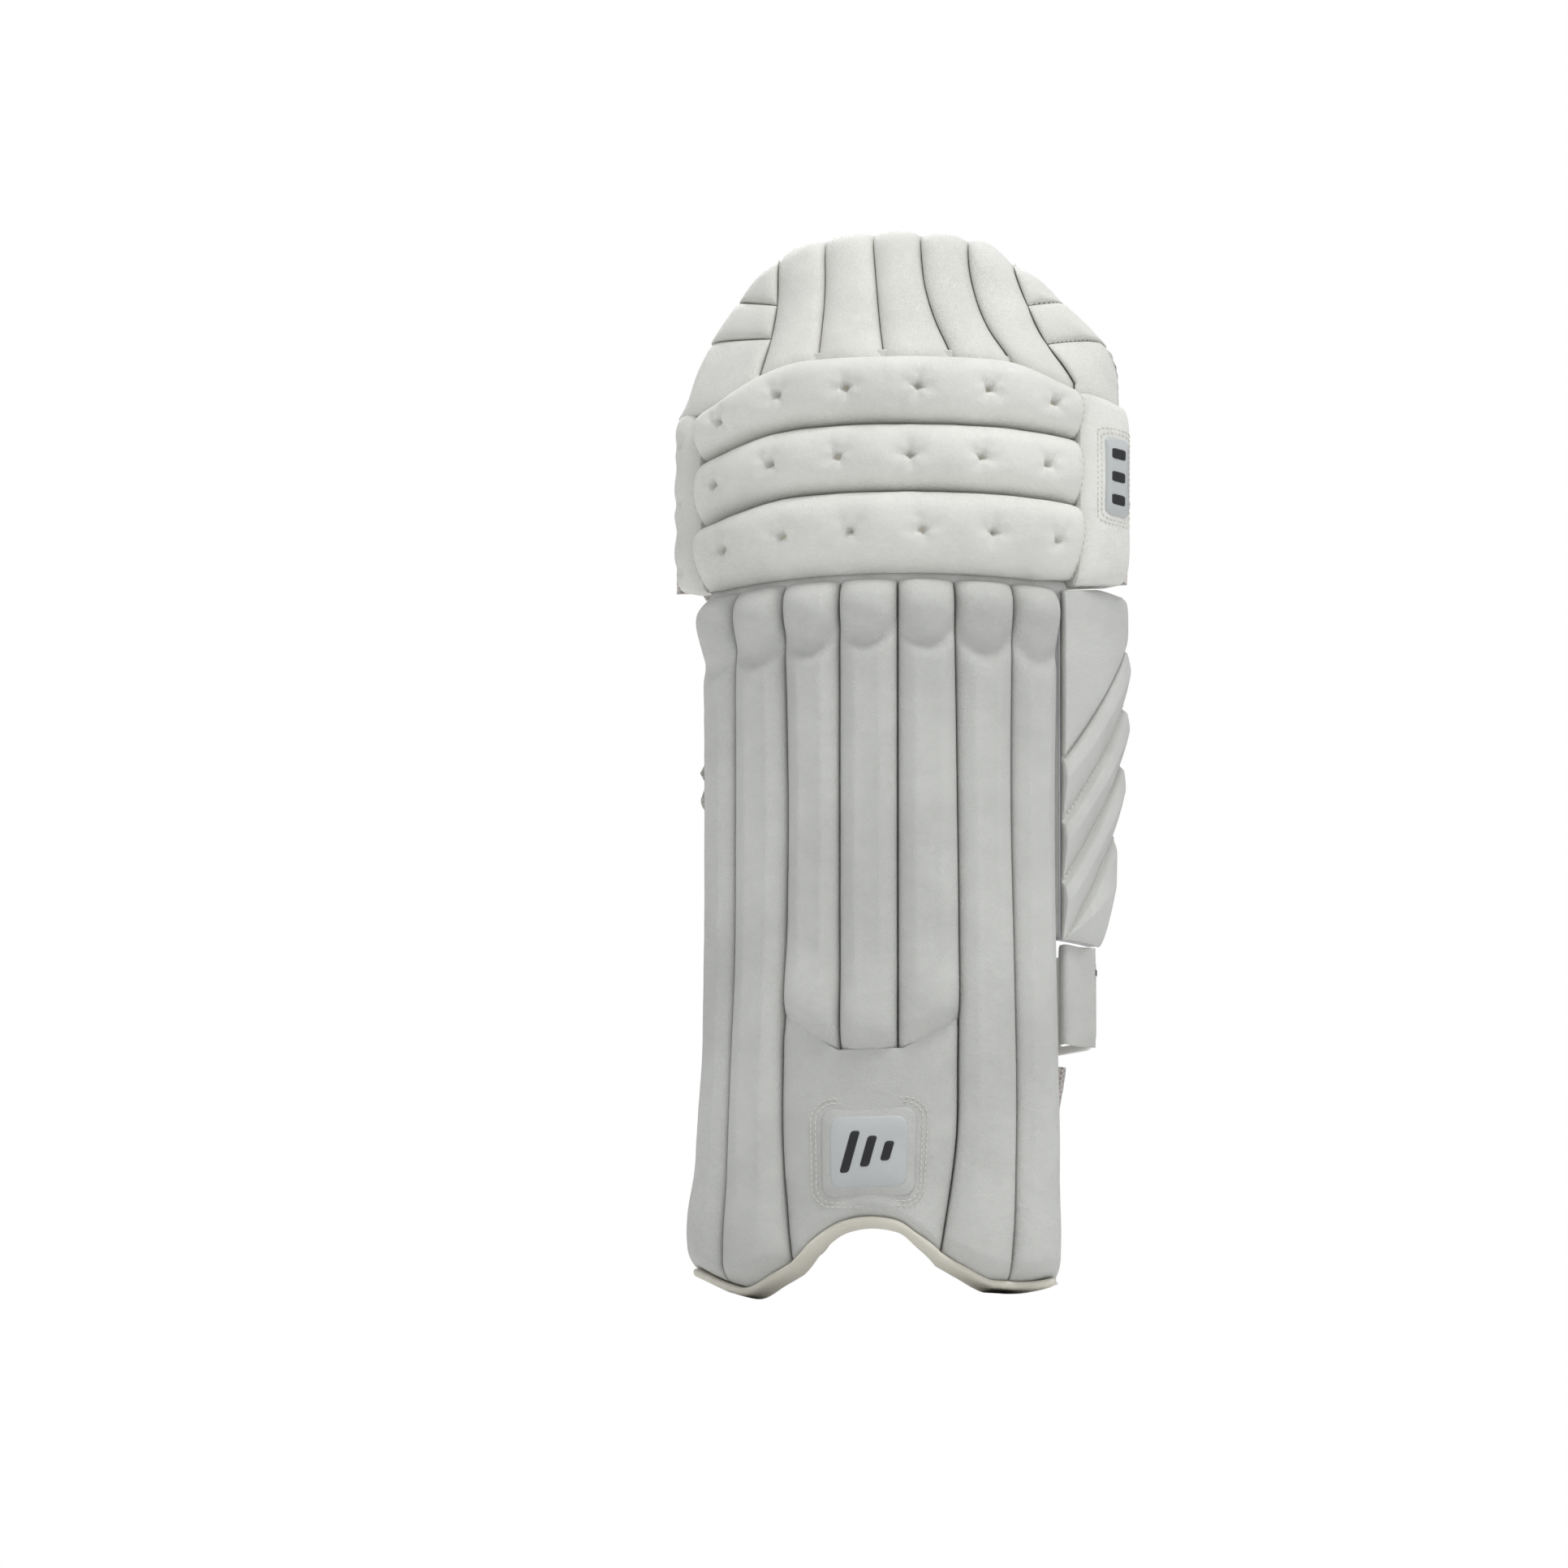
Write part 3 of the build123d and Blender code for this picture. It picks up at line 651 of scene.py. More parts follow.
def cane_grid(k, inset=0.0):
    """Front surface of one cane bolster; inset draws it in for the filling."""
    a0, a1 = CANE_EDGES[k], CANE_EDGES[k + 1]
    margin = 0.07 + inset * 0.42
    s, t = fractions(36, 230, 0.75, 0.35)
    a = (a0 + margin) + (a1 - a0 - 2 * margin) * s
    x = aside_at(150, a)
    if 2 <= k <= 4:
        foot = np.interp(x, *PANEL_LINE) - 1.0 + inset * 3
        foot_round, foot_low = 18.0, 0.25
    else:
        foot = foot_line(x, BINDING) + inset * 5
        foot_round, foot_low = 13.0, 0.30
    top = SHIN_TOP + 0.8 - inset * 4
    z = foot + (top - foot) * t
    seam = GROOVES[k] + (GROOVES[k + 1] - GROOVES[k]) * s
    full = CANE_OUT - PAD_BACK
    outer = (k == 0) * (1 - s) + (k == 6) * s
    lift = seam + (full - seam) * crown(s, 2.5) * (1 - 0.28 * outer**1.5)
    foot_shape = foot_low + (1 - foot_low) * dome((z - foot) / foot_round)
    top_shape = 0.42 + 0.58 * dome((top - z) / 13.0)
    pinch = top - 39 - 2.5 * abs(k - 3) + 2.5 * noise(k + 0.3, 0, 0, 1.0, 5) + 9.0 * np.abs(2 * s - 1) ** 1.6
    deep = 0.75 if k in (0, 6) else 1.0
    bulge = 7.0 * bell(z, top - 17, 13) - 5.6 * deep * bell(z, pinch, 6.5)
    bulge = bulge * (0.55 + 0.45 * crown(s, 2.0))
    if k in (0, 1, 5, 6):
        bulge = bulge + 2.2 * bell(z, foot + 26, 22) - 0.9 * bell(z, foot + 62, 16)
    else:
        bulge = bulge + 2.6 * bell(z, foot + 24, 16) - 0.8 * bell(z, foot + 56, 14)
    ridge = 0.85 * (bell(s, 0.29, 0.08) + bell(s, 0.72, 0.08))
    ridge = ridge * smooth(pinch - z, 0, 25) * smooth(z - foot, 25, 60)
    bumps = 0.5 * noise(a * 2.6, 0, z * 0.35, 14, k) + 0.2 * noise(a * 2.6, 0, z, 7, k + 20)
    lift = lift + (bulge + ridge + bumps) * crown(s, 2.2)
    lift = lift * foot_shape * top_shape
    return PAD_BACK + lift - inset * (2.6 + 6.5 * bell(z, pinch, 18)), a, z


def shin_canes():
    """Seven cane bolsters, each its own sewn cover, and the fillings inside them."""
    fillings = Fillings()
    for k in range(7):
        r, a, z = cane_grid(k)
        cover(f"cane_bolster_{k + 1}", shin_point(r, a, z), shin_point(PAD_BACK, a, z),
              "front", "shin", "front_pu", f"shin_cane_cover_{k + 1}", fill=0.85, steps=3)
        r, a, z = cane_grid(k, 1.0)
        r, a, z = r[::3, ::6], (a + 0 * z)[::3, ::6], z[::3, ::6]
        fillings.add(shin_point(r, a, z), shin_point(PAD_BACK + 1.8, a, z))
    fillings.piece("cane_fillings", "shin", "shin_cane_foams")


def instep_panel():
    s, t = fractions(70, 90, 0.5, 0.5)
    a0, a1 = CANE_EDGES[2] + 0.1, CANE_EDGES[5] - 0.1
    a = a0 + (a1 - a0) * s
    x = aside_at(INSTEP_OUT, a)
    foot = foot_line(x, BINDING) + 0.4
    top = np.interp(x, *PANEL_LINE) + 3
    z = foot + (top - foot) * t
    lift = 6.0 + (INSTEP_OUT - PAD_BACK - 6.0) * crown(s, 5) * dome((z - foot) / 9.0)
    lift = lift + 0.5 * noise(x, 0, z, 26, 3) + 0.2 * noise(x, 0, z, 9, 4)
    cover("instep_pad", shin_point(PAD_BACK + lift, a, z), shin_point(PAD_BACK, a, z),
          "front", "shin", "front_pu", "instep_panel", fill=0.5, steps=3)


def under_arch(x):
    """Lower edge of the shin's backing and lining."""
    return foot_line(x, BINDING) + 0.3


def shin_sheet(name, inside, outside, reach, top, look, slot_name, node):
    """A thin curved sheet as wide as the shin."""
    s, t = fractions(60, 90)
    a = -reach + 2 * reach * s
    low = under_arch(aside_at(outside, a))
    z = low + (top - low) * t
    return cover(name, shin_point(outside, a, z), shin_point(inside, a, z), look, "shin", slot_name, node)


def tube(name, sections, material, uv=None):
    """A closed tube from sections[i][j]: i round the section, j along the length."""
    rows, columns = sections.shape[:2]
    faces = grid_faces(rows + 1, columns)
    faces = np.where(faces >= rows * columns, faces - rows * columns, faces)
    first = list(range(0, rows * columns, columns))
    last = list(range(columns - 1, rows * columns, columns))
    return make_mesh(name, sections.reshape(-1, 3), faces.tolist() + [first[::-1], last], uv, material)


def hem_binding():
    """Cream binding under the canes and over the shoe arch: a band folded round the raw edge."""
    x = np.linspace(-105.5, 105.5, 300)
    a = angle_at(x, 146.0)
    z = foot_line(x)
    ends = 1 - 0.7 * smooth(np.abs(x), 101, 105.5)
    rows = []
    for c in circle(32):
        across = np.sign(np.cos(c)) * np.abs(np.cos(c)) ** 0.5
        rise = np.sign(np.sin(c)) * np.abs(np.sin(c)) ** 0.7
        out = 2.2 * bell(across, 1, 0.6) * noise(x, 0, 0, 21, 17)
        rows.append(shin_point(141.6 + 9.0 * across * ends + out, a, z + 2.9 + 2.9 * rise * ends))
    obj = tube("hem_binding_band", np.stack(rows), MATERIALS["binding"])
    attach(obj, "shin", "binding", "hem_binding")


def calf_bolsters():
    """Mesh-covered bolsters either side of the calf, with fillings."""
    fillings = Fillings()
    bounds = {
        "outer": (12.9, [(421, 50.5), (300, 51.8), (200, 47.5), (120, 41.5), (60, 35.5)]),
        "inner": (-12.9, [(421, -49.5), (300, -49.8), (200, -46.5), (120, -41.0), (60, -35.0)]),
    }
    for name, (inside, outside) in bounds.items():
        for inset in (0.0, 1.0):
            s, t = fractions(60, 170, 0.6, 0.5)
            low = 26.0
            z = low + (421.0 - low) * t + 0 * s
            edge = through(z, [p[0] for p in outside], [p[1] for p in outside])
            a = inside + inset * np.sign(inside) + (edge - inside - 2 * inset * np.sign(inside)) * s
            x = aside_at(125, a)
            sag = smooth(np.abs(s - 0.5), 0.2, 0.5) * 5
            z = z + sag * smooth(z, 120, 60) - sag * smooth(z, 396, 421)
            lift = 3.0 + 21.0 * crown(s, 2.6) * (0.12 + 0.88 * crown(t, 9.0))
            lift = lift + 0.9 * noise(x, 0, z, 42, 8) + 0.35 * noise(x, 0, z, 15, 9)
            front = shin_point(LINING - lift + 2.0 * inset, a, z)
            back = shin_point(LINING - inset * 1.5 - 0.05, a, z)
            if inset == 0:
                cover(f"{name}_calf_mesh_bolster", front, back,
                      "mesh", "shin", "air_mesh", f"{name}_calf_bolster", fill=0.8, steps=2)
            else:
                fillings.add(front[::3, ::5], back[::3, ::5])
    fillings.piece("calf_fillings", "shin", "calf_bolster_foams")


def shin_back():
    shin_sheet("shin_board", 135.1, 136.9, 47.5, SHIN_TOP - 0.5, "board", "board", "shin_backing")
    lining = shin_sheet("shin_lining_sheet", 133.7, 134.9, 49.5, SHIN_TOP, "back", "back_pu", "shin_lining")
    s, t = fractions(40, 120, 0.7, 0.4)
    a = -12.6 + 25.2 * s
    z = 58 + 350 * t + 0 * s
    lift = 1.2 + 3.6 * crown(s, 3) + 0.35 * noise(a * 2.3, 0, z, 30, 5)
    cover("centre_strip_pad", shin_point(LINING - lift, a, z), shin_point(LINING - 0.05, a, z),
          "back", "shin", "back_pu", "centre_strip", fill=0.4)


def flat_print(name, outline, thick, place, look, body, *nodes):
    """A thin raised print or plate: an outline of (s, z) points, filled as a fan of quads."""
    outline = np.asarray(outline, float)
    middle = outline.mean(axis=0)
    rings = [outline * f + middle * (1 - f) for f in (1.0, 0.94, 0.6, 0.25)]
    lift = [0.0, thick, thick, thick]
    verts, faces = [], []
    for ring, h in zip(rings, lift):
        verts.append(place(ring[:, 0], ring[:, 1], h))
    verts.append(place(middle[:1], middle[1:], thick))
    verts.append(place(outline[:, 0], outline[:, 1], -0.3))
    n = len(outline)
    for k in range(3):
        for i in range(n):
            j = (i + 1) % n
            faces.append([k * n + i, k * n + j, (k + 1) * n + j, (k + 1) * n + i])
    for i in range(n):
        faces.append([3 * n + i, 3 * n + (i + 1) % n, 4 * n])
    base = 4 * n + 1
    for i in range(n):
        j = (i + 1) % n
        faces.append([i, base + i, base + j, j])
    faces.append([base + i for i in range(n)][::-1])
    attach(make_mesh(name, np.concatenate(verts), faces, None, MATERIALS[look]), body, "badge", *nodes)


def rounded_box(x0, x1, z0, z1, radius, count=7, slant=0.0):
    """Outline of a rectangle with round corners, leaning sideways by slant per unit height."""
    points = []
    corners = [(x1 - radius, z1 - radius, 0), (x0 + radius, z1 - radius, 90), (x0 + radius, z0 + radius, 180),
               (x1 - radius, z0 + radius, 270)]
    for cx, cz, start in corners:
        for c in np.radians(np.linspace(start, start + 90, count)):
            points.append((cx + radius * np.cos(c), cz + radius * np.sin(c)))
    points = np.array(points)
    points[:, 0] += (points[:, 1] - (z0 + z1) / 2) * slant
    return points


def badge(name, place, body, cx, cz, width, height, tilt, *nodes):
    """A sewn badge: PU border, recessed grey plate and a plain emblem of slanted bars."""
    def put(points):
        points = np.asarray(points, float)
        c, s = np.cos(np.radians(tilt)), np.sin(np.radians(tilt))
        x, z = points[:, 0], points[:, 1]
        return np.stack([cx + x * c - z * s, cz + x * s + z * c], axis=1)

    w, h = width / 2, height / 2
    look = "front" if body == "shin" else "hat"
    flat_print(name + "_border", put(rounded_box(-w, w, -h, h, 7)), 1.5, place, look, body, *nodes)
    plate_at = lambda s, z, lift: place(s, z, lift + 1.5)
    w, h = w - 5.5, h - 5.5
    flat_print(name + "_plate", put(rounded_box(-w, w, -h, h, 6)), 0.7, plate_at, "plate", body)
    on_plate = lambda s, z, lift: place(s, z, lift + 2.2)
    size = min(w, h)
    for i, share in enumerate((0.95, 0.7, 0.45)):
        x, tall = (i - 1) * size * 0.52, size * share * 0.62
        bar = rounded_box(x - size * 0.13, x + size * 0.13, -tall, tall, size * 0.08, 4, 0.28)
        flat_print(f"{name}_bar_{i + 1}", put(bar), 0.35, on_plate, "black", body)


def shin_trims():
    def on_instep(s, z, lift):
        return shin_point(INSTEP_OUT + 0.2 + lift, np.degrees(s / INSTEP_OUT), z)

    badge("instep_emblem", on_instep, "shin", 0.5, 81, 57, 54, 0, "instep_badge")
    for grow in (3.2, 6.0):
        loop = closed(rounded_box(-28.5 - grow + 0.5, 28.5 + grow + 0.5, 54 - grow, 108 + grow, 7 + grow, 9))
        points = on_instep(loop[:, 0], loop[:, 1], 0.15)
        normals = from_axis(1.0, np.degrees(loop[:, 0] / INSTEP_OUT))
        shin_threads.add(points, normals, pitch=3.6, length=2.6, radius=0.35)

    def on_strip(s, z, lift):
        return shin_point(LINING - 5.0 - lift, np.degrees(-s / 129.0), z)

    bars = [(368, 346), (338, 326), (318, 296), (288, 276), (268, 246), (238, 226), (218, 196), (188, 176)]
    for i, (high, low) in enumerate(bars):
        bar = rounded_box(-17, 17, low, high, 2, 4)
        flat_print(f"centre_strip_bar_{i + 1}", bar, 0.35, on_strip, "black", "shin")
    disc = [(8.5 * np.cos(c), 60 + 8.5 * np.sin(c)) for c in circle(32)]
    at_foot = lambda s, z, lift: on_strip(s, z, lift - 4.9)
    flat_print("round_label", np.array(disc) + [-5.5, -12.0], 0.3, at_foot, "label", "shin")


# ---------------------------------------------------------------- wing
wing_threads = Threads()
WING_ROOT = 47.7  # angle of the sewn root
WING_EDGE = ([218, 292, 372, 425], [-73, -58, -44.5, -44.5])  # how far back the wing reaches at each height


def wing_reach(z, r):
    """Angle of the wing's free edge at a height."""
    y = through(z, *WING_EDGE)
    return np.degrees(np.arccos(np.clip((WING_Y - y) / r, -1, 1)))


# height of each seam at the root, and its rise per degree
WING_SEAMS = [(330.0, 2.42), (291.5, 2.48), (254.4, 2.75), (215.0, 3.1)]


def wing_seam(k, a):
    """Height of the k-th slanted seam; the first and last are the wing's own ends."""
    if k == 0:
        y = WING_Y - WING_RADIUS * np.cos(np.radians(a)) + AXIS_Y
        return np.clip(fold_line(y) - 7.0, WING_TOP, WING_TOP + 6)
    if k == 5:
        return WING_BOTTOM + 0 * a
    start, rise = WING_SEAMS[k - 1]
    return np.clip(start + rise * (a - 48), WING_BOTTOM, WING_TOP)


def wing_ridges():
    """The wing's outside: slanted padded ridges."""
    for k in range(5):
        s, t = fractions(60, 34, 0.5, 0.8)
        z = np.zeros(np.broadcast(s, t).shape) + (wing_seam(k, 60.0) + wing_seam(k + 1, 60.0)) / 2
        for _ in range(12):
            end = wing_reach(z, WING_RADIUS)
            a = WING_ROOT + (end - WING_ROOT) * s
            high = wing_seam(k, a)
            low = np.minimum(wing_seam(k + 1, a), high - 0.8)
            z = 0.5 * z + 0.5 * (low + (high - low) * t)
        width = np.clip((high - low) / 26.0, 0.12, 1)
        around = crown(np.clip(s * 0.96 + 0.02, 0, 1), 5)
        if k == 0:
            lift = 2.5 + 4.2 * around * crown(t, 4.5)
        else:
            groove = smooth(t, 0.86, 0.97)
            ridge = np.clip(1 - np.abs(t - 0.62) / 0.62, 0, 1) ** 0.75 * (1 - groove)
            lift = 2.0 + 6.8 * width * ridge * around
        lift = lift + 0.35 * noise(a * 2, 0, z, 16, k) * crown(s, 2) * crown(t, 2)
        scallop = 1.6 * (crown(t, 2.0) - 0.5) * smooth(s, 0.75, 1.0)
        front = wing_point(WING_RADIUS - 2.9 + lift, a + scallop, z)
        back = wing_point(WING_RADIUS - 2.8, a, z)
        cover(f"wing_ridge_{k + 1}", front, back,
              "front", "wing", "front_pu", f"wing_bolster_{k + 1}", fill=0.6, steps=2)
        if k > 0:
            reach = 0.94 if k < 4 else 0.8
            for row in (0.93, 0.975):
                wing_threads.on(f"wing_ridge_{k + 1}", np.linspace(0.04, reach, 40), row, pitch=4.0)


def wing_lining():
    """The wing's inside: a satin panel."""
    s, t = fractions(40, 110)
    z = np.zeros(np.broadcast(s, t).shape) + 330
    for _ in range(4):
        a = WING_ROOT + (wing_reach(z, WING_RADIUS - 6) - WING_ROOT) * s
        z = WING_BOTTOM + (wing_seam(0, a) - WING_BOTTOM) * t
    front = wing_point(WING_RADIUS - 3.1, a, z)
    puff = 1.0 + 2.2 * crown(s, 3) * crown(t, 8) + 0.8 * noise(a, 0, z, 22, 12) * crown(s, 2)
    back = wing_point(WING_RADIUS - 6.6 - puff, a, z)
    cover("wing_satin_panel", front, back, "satin", "wing", "satin", "wing_panel", fill=0.3, steps=2)


def wing_edge():
    """Two cords twisted together, which close the wing's free edge."""
    z = np.linspace(WING_BOTTOM + 1, WING_TOP + 8, 420)
    end = wing_reach(z, WING_RADIUS - 4)
    twist = z * 2 * np.pi / 13.0
    verts, faces = [], []
    sides = 12
    for strand in (0, np.pi):
        start = len(verts)
        centre_r = WING_RADIUS - 4.2 + 1.5 * np.cos(twist + strand)
        centre_a = end - 0.2 + 0.75 * np.sin(twist + strand)
        line = wing_point(centre_r, centre_a, z)
        thick = 2.6 + 0.3 * np.sin(2 * twist)
        outward = wing_point(centre_r + 1, centre_a, z) - line
        sideways = unit(wing_point(centre_r, centre_a + 1, z) - line)
        for i in range(len(z)):
            for c in circle(sides):
                verts.append(line[i] + (outward[i] * np.cos(c) + sideways[i] * np.sin(c)) * thick[i])
        for i in range(len(z) - 1):
            for c in range(sides):
                one, two = start + i * sides + c, start + i * sides + (c + 1) % sides
                faces.append([one, two, two + sides, one + sides])
        faces.append([start + c for c in range(sides)][::-1])
        faces.append([start + (len(z) - 1) * sides + c for c in range(sides)])
    rim_piece = make_mesh("wing_plaited_edge", np.array(verts), faces, None, MATERIALS["front"], tidy=False)
    attach(rim_piece, "wing", "front_pu")


# ---------------------------------------------------------------- knee
knee_threads = Threads()
ROLL_SEAMS = [KNEE_BOTTOM - 0.3, 484.5, 526.0, ROLL_TOP + 0.3]
ROLL_FROM, ROLL_TO = -45.0, 51.0
KNEE_FROM, KNEE_TO = -54.0, 66.0
DIMPLES = [(-34.4, 459.5), (-37.0, 505.0), (-35.3, 547.0)]  # first angle and height of each roll's row
DIMPLE_STEP = 15.5


def fold_line(y):
    """Lowest height of the knee section at a distance behind its hinge line."""
    return KNEE_BOTTOM + 1 + np.clip(y - (AXIS_Y - 112.0), 0, None) * np.tan(np.radians(11.5))


def seam_drop(a, k):
    """How far the k-th seam between knee rolls sags towards the rolls' ends."""
    inner = smooth(a, -12, ROLL_FROM)
    outer = smooth(a, 26, ROLL_TO)
    return [0.0, 9.5, 10.5, 22.0][k] * inner**1.3 + [0.0, 0.5, 1.5, 12.0][k] * outer**1.5


def roll_height(a, t, k, inset=0.0):
    """Height at a fraction t up the k-th roll, at an angle."""
    low = ROLL_SEAMS[k] + 0.15 + 2.2 * inset - seam_drop(a, k)
    high = ROLL_SEAMS[k + 1] - 0.15 - 2.2 * inset - seam_drop(a, k + 1)
    return low + (high - low) * t


def knee_rolls():
    """Three cushions stitched through in rows of six."""
    names = ["lower", "middle", "upper"]
    fillings = Fillings()
    for k, name in enumerate(names):
        for inset in (0.0, 1.0):
            s, t = fractions(300, 54, 0.10, 0.8)
            a = ROLL_FROM + inset * 0.8 + (ROLL_TO - ROLL_FROM - 1.6 * inset) * s
            z = roll_height(a, t, k, inset)
            if k == 0:
                behind = fold_line(behind_at(146, a)) - 0.6 + 2.2 * inset
                rise = np.maximum(behind - roll_height(a, 0.0, 0, inset), 0)
                z = z + rise * (1 - t)
            arc = np.radians(a) * 160
            from_end = np.clip(np.minimum(a - ROLL_FROM, ROLL_TO - a) * 2.8, 0, None)
            ends = 0.70 + 0.30 * (1 - np.exp(-from_end / 7.0))
            full = ROLL_OUT + 1.2 - PAD_BACK
            seam = 10.5
            edge = seam * ends**0.4
            lift = edge + (full * ends - edge) * crown(t ** (1.6 if k == 0 else 1.22), 2.1)
            first, height = DIMPLES[k]
            for i in range(6):
                here = first + i * DIMPLE_STEP
                du = arc - np.radians(here) * 160
                dz = z - (height - 0.5 * (seam_drop(here, k) + seam_drop(here, k + 1)))
                away = np.sqrt((du / 1.1) ** 2 + dz**2)
                round_it = np.arctan2(dz, du)
                pucker = 1 + 0.22 * np.cos(4 * round_it + i * 1.7 + k) * bell(away, 7, 5)
                lift = lift - (3.8 * bell(away, 0, 9.5) + 6.0 * bell(away, 0, 2.3)) * pucker
            near_seam = np.exp(-np.minimum(t, 1 - t) * 40 / 5.0)
            lift = lift + 0.5 * noise(arc, 0, z * 0.2 + 40 * k, 9, 30 + k) * near_seam * ends
            lift = lift + 0.8 * noise(arc, 0, z, 34, 33 + k) + 0.3 * noise(arc, 0, z, 13, 36 + k)
            front = polar(PAD_BACK + lift - 2.6 * inset, a, z)
            back = polar(PAD_BACK + 1.8 * inset, a, z)
            if inset == 0:
                cover(f"knee_roll_{name}_cushion", front, back,
                      "knee", "knee", "knee_pu", f"knee_roll_{name}", fill=0.8, steps=3)
                for end in (0.006, 0.994):
                    line = np.linspace(0.03, 0.97, 30)
                    knee_threads.on(f"knee_roll_{name}_cushion", end, line, lift=0.2, pitch=4.4)
            else:
                fillings.add(front[::5, ::3], back[::5, ::3])
    fillings.piece("knee_fillings", "knee", "knee_roll_foams")


def side_limits(name, a, free):
    """Lower and upper edges of a knee side pad at an angle; free is 0 at the rolls, 1 at the rim."""
    y = behind_at(150, a)
    if name == "inner":
        top = ROLL_SEAMS[3] - seam_drop(ROLL_FROM, 3)
        return fold_line(y) - 1.0, top - 2 + 5 * smooth(free, 0.0, 0.5) - 1.0 * smooth(free, 0.6, 1)
    top = ROLL_SEAMS[3] - seam_drop(ROLL_TO, 3)
    return fold_line(y) - 5.0, top - 1 - 4 * smooth(free, 0.1, 1.0)


SIDE_PADS = {  # angles of the two side pads, from the one edge to the other
    "inner": (KNEE_FROM - 1.0, ROLL_FROM - 0.06),
    "outer": (ROLL_TO + 0.06, KNEE_TO + 1.5),
}


def knee_sides():
    """Side panels of the knee, rounded over at the free edge."""
    for name, (a0, a1) in SIDE_PADS.items():
        s, t = fractions(60, 110, 0.75, 0.6)
        a = a0 + (a1 - a0) * s
        free = 1 - s if name == "inner" else s
        low, high = side_limits(name, a, free)
        z = low + (high - low) * t
        full = 24.5 if name == "outer" else 23.0
        edge_mm = (1 - free) * (a1 - a0) * 2.7
        side_round = 0.12 + 0.88 * dome(edge_mm / 9.0)
        seam_mm = free * (a1 - a0) * 2.7
        near_seam = 0.70 + 0.30 * (1 - np.exp(-seam_mm / 8.0))
        ends = 0.25 + 0.75 * crown(t, 5.5)
        lift = full * near_seam * side_round * ends
        scallops = 0.0
        for seam, z_seam in enumerate(ROLL_SEAMS[1:3], 1):
            z_here = z_seam - seam_drop(a0 if name == "inner" else a1, seam)
            scallops = scallops + bell(z, z_here, 8)
        lift = lift - scallops * (1.6 if name == "inner" else 0.5) * smooth(free, 0.0, 0.6)
        if name == "inner":
            for z_dimple in (452, 493, 529):
                lift = lift - 3.2 * bell(z, z_dimple, 4.5) * bell(s, 0.35, 0.16)
        lift = lift + 0.5 * noise(a * 2.7, 0, z, 24, 50) + 0.25 * noise(a * 2.7, 0, z, 9, 51)
        cover(f"knee_{name}_side_pad", polar(PAD_BACK + lift, a, z), polar(PAD_BACK, a, z),
              "knee", "knee", "knee_pu", f"knee_side_{name}", fill=0.6, steps=3)


def knee_board():
    s, t = fractions(80, 60)
    a = KNEE_FROM + 0.3 + (KNEE_TO - KNEE_FROM - 0.6) * s
    y = behind_at(136, a)
    low = fold_line(y) + 0.2
    high = 566 - 17 * smooth(np.abs(a - 6), 26, 44)
    z = low + (high - low) * t
    cover("knee_back_sheet", polar(136.9, a, z), polar(135.1, a, z), "back", "knee", "board", "knee_backing")


HEX_POINTS = [(-19, 463), (13, 460), (24, 500), (16, 529), (-13, 531), (-24, 490)]
CUP_SHIFT = 4.0  # the cup sits this far towards the outer side
CUP_BOTTOM, CUP_TOP = KNEE_BOTTOM + 2.0, 557.0
CUP_HALF = ([436, 470, 520, 557], [33, 41, 44, 36])  # half its width at each height


def hexagon_distance(x, z):
    """Distance outside the knee cup's stitched hexagon, negative inside."""
    points = np.array(HEX_POINTS, float)
    centre = points.mean(axis=0)
    best = np.full(np.broadcast(x, z).shape, -1e9)
    for p, q in zip(points, np.roll(points, -1, axis=0)):
        way = (q - p) / np.linalg.norm(q - p)
        out = np.array([way[1], -way[0]])
        if np.dot(p - centre, out) < 0:
            out = -out
        best = np.maximum(best, (x - p[0]) * out[0] + (z - p[1]) * out[1])
    return best


